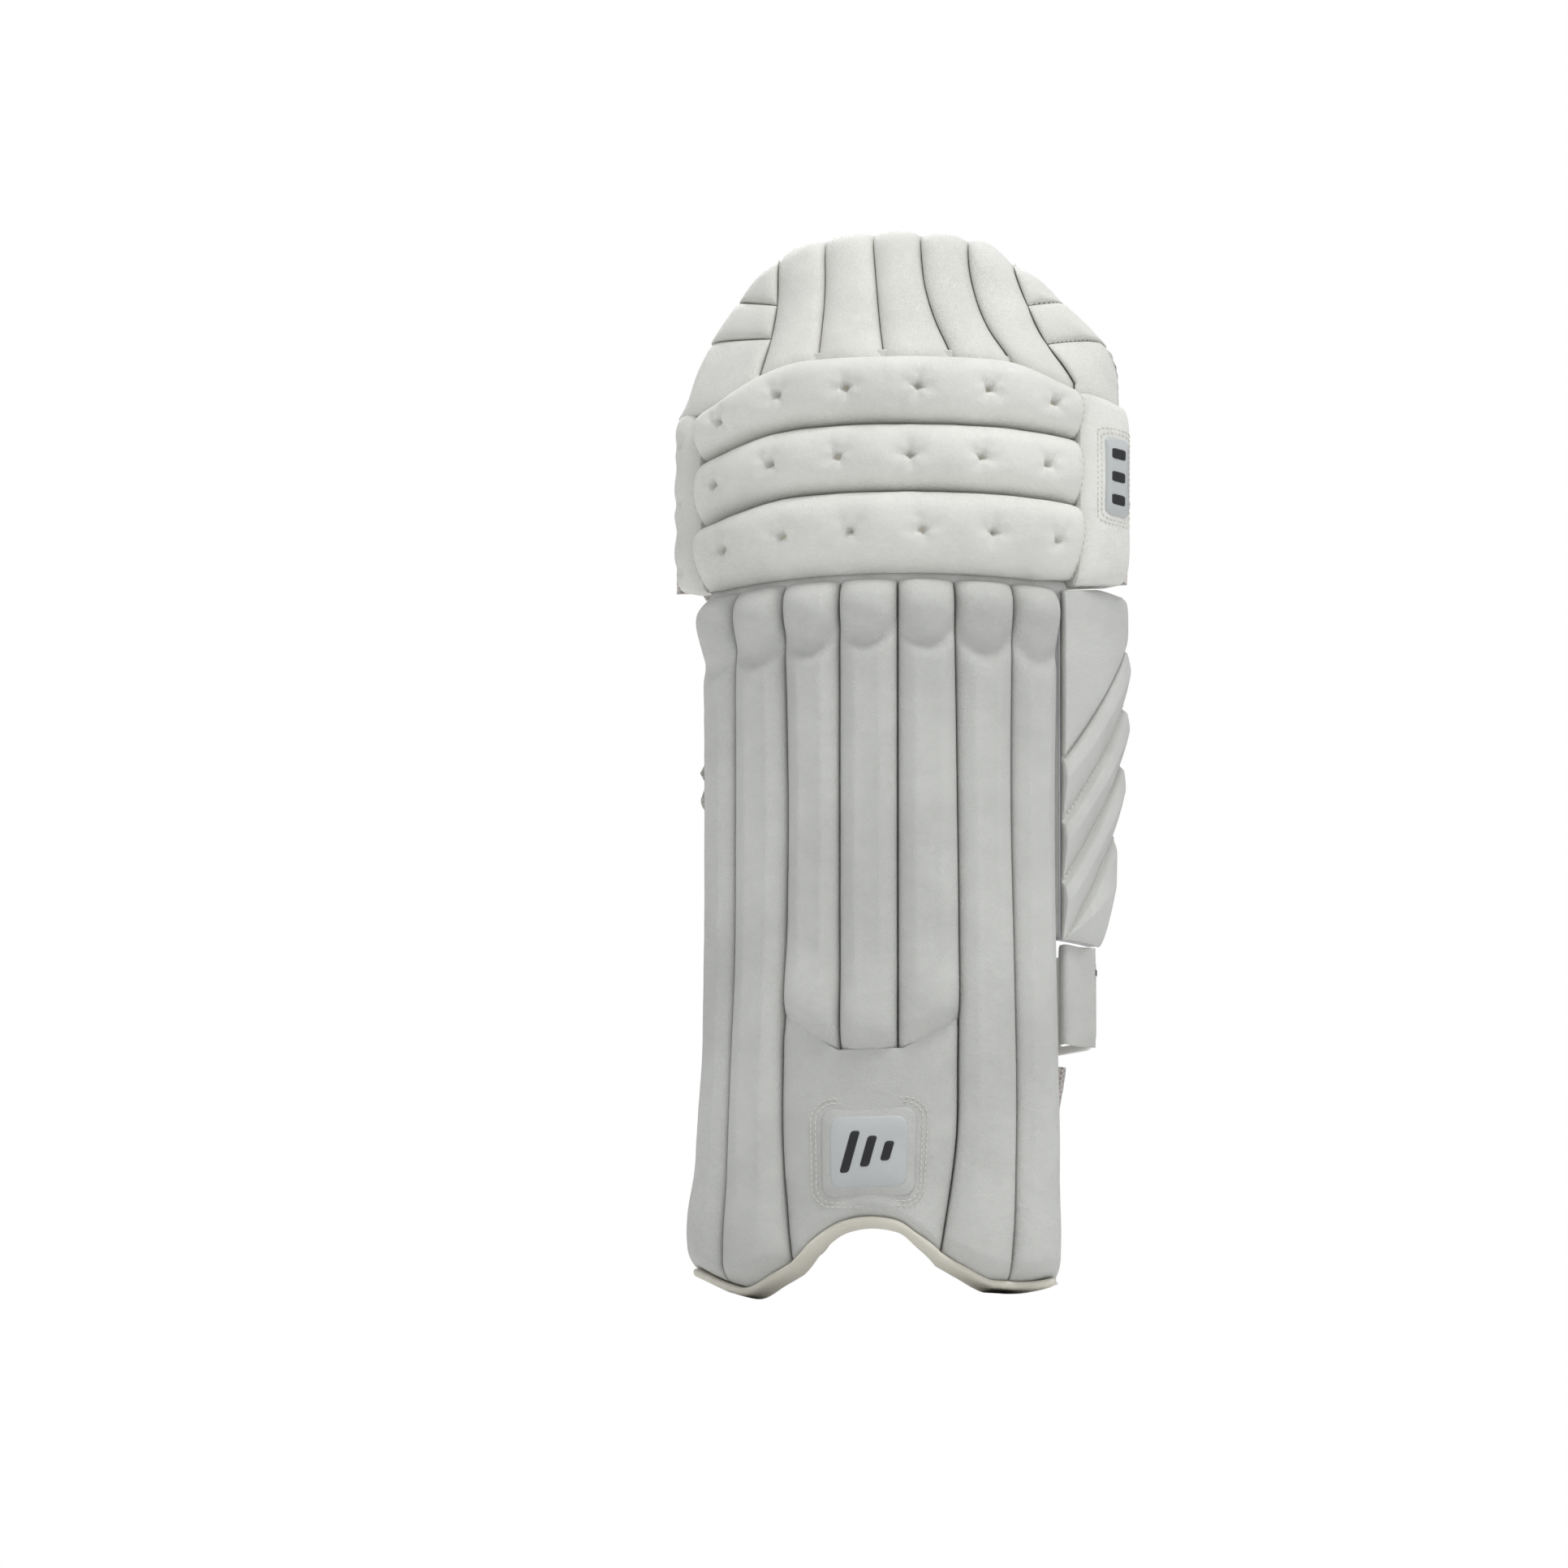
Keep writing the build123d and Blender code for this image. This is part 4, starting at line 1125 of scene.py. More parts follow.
def knee_cup():
    """Puckered knee cushion with a stitched hexagonal centre."""
    s, t = fractions(120, 150, 0.3, 0.3)
    z = CUP_BOTTOM + (CUP_TOP - CUP_BOTTOM) * t + 0 * s
    half = through(z, *CUP_HALF)
    x = CUP_SHIFT + half * (2 * s - 1)
    a = angle_at(x, 128.0)
    outside = hexagon_distance(x - CUP_SHIFT, z)
    rim_s = np.minimum(s, 1 - s) * 2 * half
    rim_t = np.minimum(t, 1 - t) * (CUP_TOP - CUP_BOTTOM)
    rim_gap = np.minimum(rim_s, rim_t)
    ring = np.clip(outside / (outside + rim_gap + 1e-6), 0, 1)
    around = np.arctan2(z - 497, (x - CUP_SHIFT) * 1.4)
    lift = 4.0 + 9.5 * dome(rim_gap / 13.0)
    in_hex = smooth(outside, 1.0, -6.0)
    lift = lift - 3.4 * bell(outside, 0, 2.6) + 1.2 * in_hex - 0.8 * smooth(outside, 0, 6)
    folds = 0.0
    for n, (freq, phase, size) in enumerate([(17, 0.4, 1.0), (29, 1.9, 0.75), (43, 0.7, 0.45)]):
        drift = 1.6 * noise(around * 3, ring * 2.0, 0, 1.3, 60 + n)
        folds = folds + size * np.sin(freq * around + phase + drift)
    where = smooth(outside, 0.5, 4) * (0.45 + 0.75 * np.clip(1 - np.abs(ring - 0.45) * 1.6, 0, 1))
    patchy = 0.75 + 0.5 * noise(np.cos(around) * 3, np.sin(around) * 3, 0, 1.0, 66)
    lift = lift + 0.95 * folds * where * patchy * smooth(rim_gap, 0.0, 3.0)
    lift = lift + 0.3 * noise(x, 0, z, 7, 67)
    front = polar(BACKING_OUT - 3.0 - lift, a, z)
    back = polar(BACKING_OUT - 2.2, a, z)
    cover("knee_cup_cushion", front, back,
          "back", "knee", "back_pu", "knee_cup", "knee_cup_centre", fill=0.7, steps=2)
    # stitches round the hexagon, set on the cushion
    loop = np.array(HEX_POINTS + HEX_POINTS[:1], float)
    fine = np.concatenate([np.linspace(p, q, 14)[:-1] for p, q in zip(loop, loop[1:])] + [loop[-1:]])
    grid_s = unspread((fine[:, 0] / through(fine[:, 1], *CUP_HALF) + 1) / 2, 120, 0.3)
    grid_t = unspread((fine[:, 1] - CUP_BOTTOM) / (CUP_TOP - CUP_BOTTOM), 150, 0.3)
    points, normals = surface_at("knee_cup_cushion", grid_s, grid_t)
    if normals[:, 1].mean() < 0:
        normals = -normals
    knee_threads.add(points + normals * 0.15, normals, pitch=3.4, length=2.4, radius=0.34)


FLAPS = {  # angle of the root, heights along the free edge and its distance from the axis there
    "outer": (64.0, ([570, 550, 494, 452, 430], [25, 31, 55, 40, 30])),
    "inner": (-52.0, ([570, 550, 494, 452, 430], [-26, -29, -41, -30, -24])),
}
FLAP_RADIUS = 112.0
FLAP_SIDES = [13.5, 34, 52, 64]  # a flap leans away from the cup: radii of its faces at these angles
FLAP_INSIDE = [99.5, 107.5, 115.5, 121]
FLAP_OUTSIDE = [110.5, 119.5, 127.5, 131.5]


def knee_flaps():
    for name, (root, edge) in FLAPS.items():
        s, t = fractions(80, 90, 0.55, 0.6)
        root_x = FLAP_RADIUS * np.sin(np.radians(root))
        z = np.zeros(np.broadcast(s, t).shape) + 500
        x = root_x + 0 * z
        for _ in range(8):
            y = AXIS_Y - np.sqrt(np.clip(FLAP_RADIUS**2 - x**2, 0, None))
            low = np.maximum(fold_line(y), KNEE_BOTTOM + 1) + 0.5
            reach = np.clip(np.abs(x / root_x), 0, 1)
            high = 549 + 20 * (1 - reach) ** 0.7
            z = low + (high - low) * t
            free = through(z, *edge)
            x = root_x + (free - root_x) * s
        a = angle_at(x, FLAP_RADIUS)
        inside, outside = (through(np.abs(a), FLAP_SIDES, radii) for radii in (FLAP_INSIDE, FLAP_OUTSIDE))
        middle, half = (inside + outside) / 2, (outside - inside) / 2
        soft = crown(np.clip(s * 0.995 + 0.0025, 0, 1), 5) * crown(t, 5)
        wave = 1.0 * noise(x, 0, z, 38, 70) + 0.4 * noise(x, 0, z, 14, 71)
        thick = 0.9 + (half + 0.6) * soft
        front = polar(middle - thick + wave * soft, a, z)
        back = polar(middle + thick * 0.9 + wave * soft * 0.5, a, z)
        cover(f"knee_{name}_mesh_flap", front, back,
              "mesh", f"{name}_flap", "air_mesh", f"knee_flap_{name}", fill=0.7, steps=2)
        # the PU facing that runs round the free edge on the knee's side
        grid_s = unspread(np.linspace(0.90, 1.0, 9), 80, 0.55)
        grid_t = unspread(np.linspace(0.03, 0.97, 70), 90, 0.6)
        over, out = surface_at(f"knee_{name}_mesh_flap", grid_s[:, None], grid_t[None])
        if out[..., 1].mean() < 0:
            out = -out
        lift = 0.35 + 0.55 * crown(np.linspace(0.04, 0.96, 9), 2)[:, None, None]
        cover(f"knee_{name}_flap_binding", over + out * lift, over - out * 1.2,
              "back", f"{name}_flap", "back_pu")


def knee_trims():
    a0, a1 = SIDE_PADS["outer"]

    def on_side(s, z, lift):
        free = (s - a0) / (a1 - a0)
        low, high = side_limits("outer", s, free)
        u = unspread(free, 60, 0.75)
        v = unspread((z - low) / (high - low), 110, 0.6)
        points, normals = surface_at("knee_outer_side_pad", u, v)
        normals = np.where(normals[:, :1] < 0, -normals, normals)
        return points + normals * lift

    outline = rounded_box(56.6, 64.2, 480, 528, 2.5, 9)
    flat_print("knee_emblem_plate", outline, 1.3, on_side, "plate", "knee", "knee_badge")
    over = lambda s, z, lift: on_side(s, z, lift + 1.3)
    for i in range(3):
        z = 490 + i * 14
        bar = rounded_box(58.2, 62.6, z - 3.2, z + 3.2, 1.0, 4)
        flat_print(f"knee_emblem_bar_{i + 1}", bar, 0.35, over, "black", "knee")
    for grow in (1.0, 2.0):
        low, high = 480 - grow * 2.6, 528 + grow * 2.6
        loop = closed(rounded_box(56.6 - grow, 64.2 + grow * 0.7, low, high, 3.2, 10))
        points = on_side(loop[:, 0], loop[:, 1], 0.2)
        normals = from_axis(1.0, loop[:, 0])
        knee_threads.add(points, normals, pitch=3.4, length=2.4, radius=0.33)


def knee_edge_linings():
    """Mesh facing on the free edges of the knee's side pads."""
    for name, at, sign in (("outer", KNEE_TO + 1.5, 1), ("inner", KNEE_FROM - 1.0, -1)):
        s, t = fractions(24, 80, 0.6, 0.5)
        r = 126.0 + (153.0 - 126.0) * s
        y = behind_at(r, at)
        low = fold_line(y) - (4.0 if sign > 0 else 1.0)
        high = 542.0 - 3.0 * s
        z = low + (high - low) * t
        puff = 0.25 + 0.75 * crown(s, 4) * crown(t, 6)
        front = polar(r, at + sign * (0.5 + (1.5 if sign > 0 else 0.9) * puff), z)
        back = polar(r, at - sign * 0.4 + 0 * z, z)
        cover(f"knee_{name}_edge_lining", front, back, "mesh", "knee", "air_mesh")


def gusset(name, front, back, look, start, end):
    """A strip of soft fabric behind a sewn seam."""
    seam = slab(name, front, back, MATERIALS[look])
    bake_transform(seam)


def gussets():
    s, t = fractions(120, 20)
    a = -44.5 + 94.0 * s
    z = SHIN_TOP - 5 + 11.5 * t + 0 * s
    r = 144.5 + 3.0 * np.sin(np.pi * t) + 0 * s
    gusset("knee_seam_gusset", polar(r, a, z), polar(r - 1.5, a, z), "front",
           (0, 0, (SHIN_TOP - 1) * MM), (0, 0, (KNEE_BOTTOM + 2) * MM))
    x = -100 + 212 * s
    a = angle_at(x, 146.0)
    a_in = np.clip(a, ROLL_FROM, ROLL_TO)
    top = ROLL_SEAMS[3] - seam_drop(a_in, 3)
    z = top - 8 + 14 * t
    gusset("top_hat_seam_gusset", polar(142.5, a, z), polar(141.0, a, z), "hat",
           (0, 0, (ROLL_TOP - 12) * MM), (0, 0, (ROLL_TOP + 4) * MM))
    s, t = fractions(16, 80)
    z = WING_BOTTOM + 2 + (WING_TOP - WING_BOTTOM - 4) * t + 0 * s
    start, end = shin_point(139.5, 46.2, z), wing_point(WING_RADIUS - 1.5, 49.5, z)
    middle = 0.5 * (start + end) + np.array([1.5, -1.5, 0])
    line = start * ((1 - s) ** 2)[..., None] + middle * (2 * s * (1 - s))[..., None] + end * (s**2)[..., None]
    gusset("wing_seam_gusset", line, line + np.array([-1.0, 1.2, 0]), "front",
           tuple(polar(139.0, 46.4, 300) * MM), tuple(wing_point(WING_RADIUS, 50.0, 300) * MM))


# ---------------------------------------------------------------- top hat
hat_threads = Threads()
HAT_OUTLINE = (
    [-128, -122.5, -115, -105, -90, -77, -65, -50, -20, 10, 37, 62, 78, 90.5, 104.5, 123, 135.5, 140, 144],
    [546, 553, 577, 596, 618, 635, 643, 650.5, 655.5, 655.5, 653.5, 648, 636.5, 630, 616, 598, 579, 556, 546],
)


def hat_top(x):
    return through(x, *HAT_OUTLINE)


HAT_SEAMS = [  # heights and sideways places of the seams between the top hat's bolsters
    ([564, 590, 610, 645], [-69.3, -64.0, -62.5, -65.0]),
    ([564, 590, 611, 650], [-32.6, -32.0, -32.0, -35.0]),
    ([564, 590, 617, 650], [9.0, 4.0, -0.3, -5.3]),
    ([564, 576, 593, 616, 650], [50.0, 45.0, 37.0, 29.0, 23.0]),
    ([564, 571, 589, 625, 650], [84.0, 80.0, 68.0, 54.5, 50.5]),
    ([560, 567, 586, 608, 635, 650], [116.0, 112.0, 98.6, 88.0, 78.0, 74.0]),
]


def hat_seam(k, z):
    return through(z, *HAT_SEAMS[k])


def hat_side_x(z, sign):
    """x of the top hat's outline at a height, on one side."""
    xs, zs = (np.array(v, float) for v in HAT_OUTLINE)
    keep = sign * (xs + 4) >= 0
    return through(z, zs[keep], xs[keep])


def hat_grid(x, z, lift):
    """Top hat points from x, height and thickness above the stiffener."""
    r = PAD_BACK + lift
    a = angle_at(x, r, 0.97)
    return hat_point(r, np.clip(a, KNEE_FROM - 2.5, KNEE_TO + 1.5), z)


def hat_foot_line(x):
    """The lower edge of the top hat's front, just above the upper roll."""
    a = angle_at(x, 152.0, 0.97)
    a_in = np.clip(a, ROLL_FROM, ROLL_TO)
    return ROLL_SEAMS[3] - seam_drop(a_in, 3) - 4.0 - 3.5 * smooth(x, 108, 140) - 2.0 * smooth(x, -108, -128)


def top_hat_front():
    """Five upright bolsters with rounded heads and three pads on each side."""
    full = 15.5
    for k in range(5):
        s, t = fractions(44, 110, 0.8, 0.5)
        z = np.zeros(np.broadcast(s, t).shape) + 600
        for _ in range(6):
            x0, x1 = hat_seam(k, z) + 0.1, hat_seam(k + 1, z) - 0.1
            x = x0 + (x1 - x0) * s
            low = hat_foot_line(x)
            high = hat_top(x) + 2.6 - 6.0 * (1 - crown(s, 2.3))
            z = low + (high - low) * t
        head = 0.10 + 0.90 * dome((high - z) / 13.0)
        foot = 0.35 + 0.65 * dome((z - low) / 12.0)
        seam = 7.0
        lift = seam * np.minimum(head, foot) ** 0.5 + (full - seam) * crown(s, 2.3) * head * foot
        lift = lift + 1.6 * bell(z, high - 16, 12) * crown(s, 2)
        lift = lift + (0.5 * noise(x, 0, z, 22, 80 + k) + 0.2 * noise(x, 0, z, 9, 90 + k)) * crown(s, 2)
        cover(f"hat_bolster_{k + 1}", hat_grid(x, z, lift), hat_grid(x, z, 0 * lift),
              "hat", "top_hat", "front_pu", f"top_hat_bolster_{k + 1}", fill=0.75, steps=3)
    # cuts between side pads: height at the bolsters' seam and at the rim
    cuts = {
        "inner": (-1, 0, [(545, 545), (588, 594.5), (611, 618.5), (652, 652)], [1, 2, 3]),
        "outer": (1, 5, [(545, 545), (584, 594), (609, 615), (652, 652)], [1, 2, 2]),
    }
    for name, (sign, seam_index, lines, nodes) in cuts.items():
        for k in range(3):
            s, t = fractions(50, 40, 0.7, 0.8)
            z = np.zeros(np.broadcast(s, t).shape) + np.mean(lines[k] + lines[k + 1])
            for _ in range(12):
                x_seam = hat_seam(seam_index, z) + sign * 0.15
                x_rim = hat_side_x(z, sign)
                x_rim = np.where(sign * x_rim > sign * x_seam + 0.6, x_rim, x_seam + sign * 0.6)
                bulge = 1.4 * crown(t, 2.2) * (k < 2) * sign
                x = x_seam + (x_rim + bulge - x_seam) * s
                low = lines[k][0] + (lines[k][1] - lines[k][0]) * s + 0.15
                low = np.maximum(low, hat_foot_line(x))
                high = lines[k + 1][0] + (lines[k + 1][1] - lines[k + 1][0]) * s - 0.15
                high = np.maximum(np.minimum(high, hat_top(x) + 1.5), low + 0.6)
                z = 0.5 * z + 0.5 * (low + (high - low) * t)
            rim_fall = np.clip((1 - s) * np.abs(x_rim - x_seam) / 10.0, 0, 1)
            if k == 2:
                rim_fall = np.minimum(rim_fall, np.clip((hat_top(x) + 2 - z) / 10.0, 0, 1))
            edge = 0.12 + 0.88 * dome(rim_fall)
            seam_rise = dome(s * np.abs(x_rim - x_seam) / 8.0)
            lift = 8.5 * edge**0.6 + (full - 9.0) * crown(t, 2.3) * edge * (0.25 + 0.75 * seam_rise)
            lift = lift + 0.3 * noise(x, 0, z, 14, 95 + k)
            title = f"hat_{name}_pad_{k + 1}"
            replaced = [f"top_hat_{name}_pad_{nodes[k]}"] if nodes.index(nodes[k]) == k else []
            cover(title, hat_grid(x, z, lift), hat_grid(x, z, 0 * lift),
                  "hat", "top_hat", "front_pu", *replaced, fill=0.7, steps=3)
            if k:
                hat_threads.on(title, np.linspace(0.05, 0.93, 24), 0.05, lift=0.25, pitch=3.8)


def hat_foot(x):
    """The lower edge of the top hat's back."""
    return HAT_BOTTOM - 5.0 - 7.0 * smooth(np.abs(x - 8), 62, 100) + 5.0 * smooth(np.abs(x - 8), 98, 125)


def top_hat_back():
    s, t = fractions(150, 90, 0.45, 0.55)
    x_low, x_high = -124.0, 142.0
    x = x_low + (x_high - x_low) * s
    low = hat_foot(x)
    high = np.maximum(hat_top(x) + 0.5, low + 0.8)
    z = low + (high - low) * t
    cover("hat_board", hat_grid(x, z, 0 * z - 0.4), hat_grid(x, z, 0 * z - 2.0),
          "board", "top_hat", "board", "top_hat_stiffener")
    swell = dome((high - z) / 15.0) * dome((z - low) / 16.0)
    swell = swell * dome(np.minimum(x - x_low, x_high - x) / 16.0)
    lift = 1.2 + 11.0 * swell
    for side, depth in ((-1, 1.02), (1, 1.7)):  # a slanting crease on each side, with a ridge above it
        along = (x - 6) * side
        crease = z - (597 + along * 0.75)
        fold = depth * bell(crease, 0, 4.2) - 1.1 * bell(crease, 9, 6.5)
        lift = lift - fold * smooth(along, 14, 30) * smooth(along, 78, 52)
    lift = lift - 1.3 * bell(z, 592, 6) * bell(x, 6, 22) + 0.7 * bell(z, 583, 6) * bell(x, 6, 30)
    lift = lift + (0.7 * noise(x, 0, z, 48, 101) + 0.25 * noise(x, 0, z, 15, 102)) * swell
    front = hat_grid(x, z, -2.4 - lift)
    back = hat_grid(x, z, 0 * z - 2.2)
    cover("hat_back_cushion", front, back, "back", "top_hat", "back_pu", "top_hat_back", fill=0.7, steps=2)


def top_hat_trims():
    def on_back(s, z, lift):
        return hat_grid(-s, z, -14.2 - lift)

    badge("hat_emblem", on_back, "top_hat", -2.0, 617, 41, 43, -5)
    loop = closed(rounded_box(-22.5, 22.5, -23.5, 23.5, 7, 9))
    points = on_back(loop[:, 0] - 2.0, loop[:, 1] + 617, 0.1)
    normals = np.tile([0.0, 0.88, -0.47], (len(points), 1))
    hat_threads.add(points, normals, pitch=3.4, length=2.4, radius=0.34)


# ---------------------------------------------------------------- straps, tabs, rings
def plan_curve(points, pitch=2.0):
    """A smooth plan line through points, evenly divided, with its length at each point."""
    points = np.asarray(points, float)
    steps = np.concatenate([[0], np.cumsum(np.linalg.norm(np.diff(points, axis=0), axis=1))])
    fine = np.linspace(0, steps[-1], 400)
    x, y = through(fine, steps, points[:, 0]), through(fine, steps, points[:, 1])
    lengths = np.concatenate([[0], np.cumsum(np.hypot(np.diff(x), np.diff(y)))])
    count = max(8, int(lengths[-1] / pitch))
    even = np.linspace(0, lengths[-1], count)
    return np.interp(even, lengths, x), np.interp(even, lengths, y), even


def ribbon_frame(plan, z_start, z_end):
    """Centre line, along, across and outward directions of a strap that drops as it goes."""
    x, y, along = plan
    z = z_start + (z_end - z_start) * along / along[-1]
    line = np.stack([x + AXIS_X, y + AXIS_Y, z], axis=1)
    way = unit(np.gradient(line, axis=0))
    out = unit(np.stack([-way[:, 1], way[:, 0], 0 * way[:, 0]], axis=1))
    across = np.cross(out, way)
    return line, way, across, out


def ribbon(name, frame_lines, width, thick, look, body, *nodes, slot_name="webbing", offset=0.0, centre=0.0,
           curl=0.0):
    """A flat strap: rounded edges, even thickness."""
    line, _, across, out = frame_lines
    corners = circle(40)
    section_w = np.sign(np.cos(corners)) * np.abs(np.cos(corners)) ** 0.22
    section_t = np.sign(np.sin(corners)) * np.abs(np.sin(corners)) ** 0.55
    rows = []
    for w, d in zip(section_w, section_t):
        side = centre + w * width / 2
        rows.append(line + across * side + out * (offset + d * thick / 2 + curl * (side / width) ** 2))
    grid = np.stack(rows)
    round_it = np.concatenate([[0], np.cumsum(np.linalg.norm(np.diff(grid[:, 0], axis=0), axis=1))])
    length = np.linspace(0, np.linalg.norm(np.diff(line, axis=0), axis=1).sum(), grid.shape[1])
    uv = np.stack(np.meshgrid(round_it, length, indexing="ij"), axis=-1).reshape(-1, 2)
    attach(tube(name, grid, MATERIALS[look], uv), body, slot_name, *nodes)


KNEE_RING = (137.0, -44.0)
CALF_RING = (107.0, -59.0)
ANKLE_RING = (122.0, -74.0)
ANCHOR_RING = (-65.0, -60.0)
ANCHOR_WIDTH = 15.0
KNEE_STRAP = (-117.0, -73.0)
CALF_STRAP = (-110.0, -78.0)
ANKLE_STRAP = (
    ANCHOR_RING[0] + ANCHOR_WIDTH * np.cos(np.radians(2)),
    ANCHOR_RING[1] + ANCHOR_WIDTH * np.sin(np.radians(2)),
)


def strap(name, points, z_start, z_end, width, body, node, stripe=0.30):
    lines = ribbon_frame(plan_curve(points), z_start, z_end)
    line, _, across, out = lines
    ribbon(name + "_under", lines, width + 1.0, 1.8, "under", body, offset=-0.8, centre=-2.6)
    ribbon(name + "_face", lines, width, 1.7, "webbing", body, node, offset=0.75, curl=0.4)
    ribbon(name + "_stripe", lines, 4.2, 0.5, "black", body, offset=1.72, centre=-width * stripe)
    threads = Threads()
    for side in (-0.46, 0.46):
        threads.add(line + across * side * width + out * 1.75, out, pitch=3.4, length=2.4, radius=0.32)
    threads.piece(name + "_stitching", body)


def straps():
    x, y = CALF_STRAP
    run = [(x + 5, y + 3), (x + 9, y + 14), (x + 26, y + 20)]
    run += [(x + d, y + 22) for d in (55, 85, 115, 145, 158)]
    strap("calf_strap_band", run, 346, 188, 50, "calf_strap_body", "calf_strap")
    x, y = KNEE_STRAP
    run = [(x, y), (x + 5, y + 14), (x + 24, y + 24), (x + 70, y + 25), (x + 123, y + 24.3)]
    strap("knee_strap_band", run, 484, 291, 24, "knee_strap_body", "knee_strap", 0.36)
    x, y = ANKLE_STRAP
    run = [(x, y + 3.2), (x + 10, y + 4.5), (x + 80, y + 6), (x + 150, y + 5.2)]
    strap("ankle_strap_band", run, 147, 121, 50, "ankle_strap_body", "ankle_strap")
    # the strap's fold round the anchor ring's far bar
    cx, cy = AXIS_X + x, AXIS_Y + y
    turn = np.radians(np.linspace(70, 330, 40))
    arc = np.stack([cx + 3.4 * np.cos(turn), cy + 3.4 * np.sin(turn), 0 * turn + 147], axis=1)
    way = unit(np.gradient(arc, axis=0))
    out = np.stack([np.cos(turn), np.sin(turn), 0 * turn], axis=1)
    across = np.tile([0.0, 0.0, 1.0], (len(arc), 1))
    ribbon("ankle_strap_fold", (arc, way, across, out), 49, 1.6, "webbing", "ankle_strap_body")
    calf_patch()


CALF_RUN = np.array([-0.7154, 0.6987])  # along the calf strap from its free end, sideways and up
CALF_SIDE = np.array([0.6987, 0.7154])


def on_calf_strap(u, v, lift):
    """Points on the calf strap's flat part: u from its free end, v across."""
    x = CALF_STRAP[0] + 158 + CALF_RUN[0] * u + CALF_SIDE[0] * v
    z = 188 + CALF_RUN[1] * u + CALF_SIDE[1] * v
    return np.stack([x + AXIS_X, 0 * x + CALF_STRAP[1] + 24.3 + AXIS_Y + lift, z], axis=-1)


def calf_line(name, path, width):
    """A thin printed or piped line on the calf strap's patch."""
    path = np.asarray(path, float)
    run = resample(np.column_stack([path, np.zeros(len(path))]), 1.0)[0][:, :2]
    kernel = np.ones(7) / 7
    run = np.stack([np.convolve(np.pad(run[:, c], 3, mode="edge"), kernel, "valid") for c in (0, 1)], axis=1)
    line = on_calf_strap(run[:, 0], run[:, 1], 1.5)
    way = unit(np.gradient(line, axis=0))
    out = np.tile([0.0, 1.0, 0.0], (len(line), 1))
    frame_lines = (line, way, np.cross(out, way), out)
    ribbon(name, frame_lines, width, 0.5, "black", "calf_strap_body", slot_name="badge")


def calf_patch():
    """The PU patch on the calf strap: piped edge, two black lines and three bars."""
    outline = smooth_loop([
        (68, 22.5), (60, 15), (54.5, 5), (56, -2.2), (62, -4.2), (73, -5.4), (88, -6), (102, -7.2),
        (110, -11), (116, -17), (122, -21.5), (130, -22.8), (140, -22), (146, -16), (147, 0), (146, 16),
        (140, 22.5), (110, 23),
    ])
    flat_print("calf_patch", outline, 1.3, on_calf_strap, "back", "calf_strap_body", "calf_strap_patch")
    along = np.roll(outline, -1, axis=0) - np.roll(outline, 1, axis=0)
    inward = np.stack([-along[:, 1], along[:, 0]], axis=1) / np.linalg.norm(along, axis=1, keepdims=True)
    if np.sum((outline.mean(axis=0) - outline) * inward) < 0:
        inward = -inward
    piping = outline + inward * 2.2
    calf_line("calf_patch_piping", closed(piping), 0.9)
    threads = Threads()
    ring = outline + inward * 4.0
    outwards = np.tile([0.0, 1.0, 0.0], (len(ring), 1))
    threads.add(on_calf_strap(ring[:, 0], ring[:, 1], 1.45), outwards, pitch=3.0, length=2.1, radius=0.28)
    threads.piece("calf_patch_stitching", "calf_strap_body")
    upper = [(61, 9), (86, 5.7), (109, 3.5), (114.5, 1), (120, -6), (131, -14)]
    lower = [(58.5, 4.8), (85, 1.6), (107, -0.6), (112, -4), (117.5, -11), (129, -17.8)]
    calf_line("calf_patch_line_1", upper, 1.9)
    calf_line("calf_patch_line_2", lower, 1.9)
    for i, tall in enumerate((20.0, 15.0, 10.0)):
        u = 119 + 8.0 * i
        low = -4.0 + 2.0 * i
        calf_line(f"calf_patch_bar_{i + 1}", [(u, low), (u + 3, low + tall)], 3.2)


def smooth_loop(points):
    """A closed smooth outline through points."""
    points = np.asarray(points, float)
    n = len(points)
    out = []
    for i in range(n):
        p0, p1, p2, p3 = (points[(i + d) % n] for d in (-1, 0, 1, 2))
        for t in np.linspace(0, 1, 8, endpoint=False):
            out.append(0.5 * (2 * p1 + (p2 - p0) * t + (2 * p0 - 5 * p1 + 4 * p2 - p3) * t**2
                              + (3 * p1 - p0 - 3 * p2 + p3) * t**3))
    return np.array(out)


def ring_piece(name, height, width, pivot, heading, z, body, node, far=5.0):
    """A moulded strap ring: a rounded frame with a round bar on the tab's side."""
    bar, thick, border = 1.9, 3.4, 5.0
    outer = rounded_box(-width - far / 2, bar, -height / 2, height / 2, 4.5, 9)
    inner = rounded_box(-width + far / 2, -bar, -height / 2 + border, height / 2 - border, 2.2, 9)
    n = len(outer)
    profile = [(0.0, 0.5), (0.12, 0.85), (0.35, 1.0), (0.65, 1.0), (0.88, 0.85), (1.0, 0.5)]
    layers = []
    for side, steps in ((1, profile), (-1, profile[::-1])):
        for f, h in steps:
            edge = outer * (1 - f) + inner * f
            layers.append(np.stack([edge[:, 0], np.full(n, side * thick / 2 * h), edge[:, 1]], axis=1))
    points = np.concatenate(layers)
    c, s = np.cos(np.radians(heading)), np.sin(np.radians(heading))
    world = np.stack([
        AXIS_X + pivot[0] + points[:, 0] * c - points[:, 1] * s,
        AXIS_Y + pivot[1] + points[:, 0] * s + points[:, 1] * c,
        z + points[:, 2],
    ], axis=1)
    faces = []
    total = len(layers)
    for k in range(total):
        for i in range(n):
            j = (i + 1) % n
            after = (k + 1) % total
            faces.append([k * n + i, k * n + j, after * n + j, after * n + i])
    obj = make_mesh(name, world, faces, None, MATERIALS["plastic"])
    attach(obj, body, "ring_plastic", node)


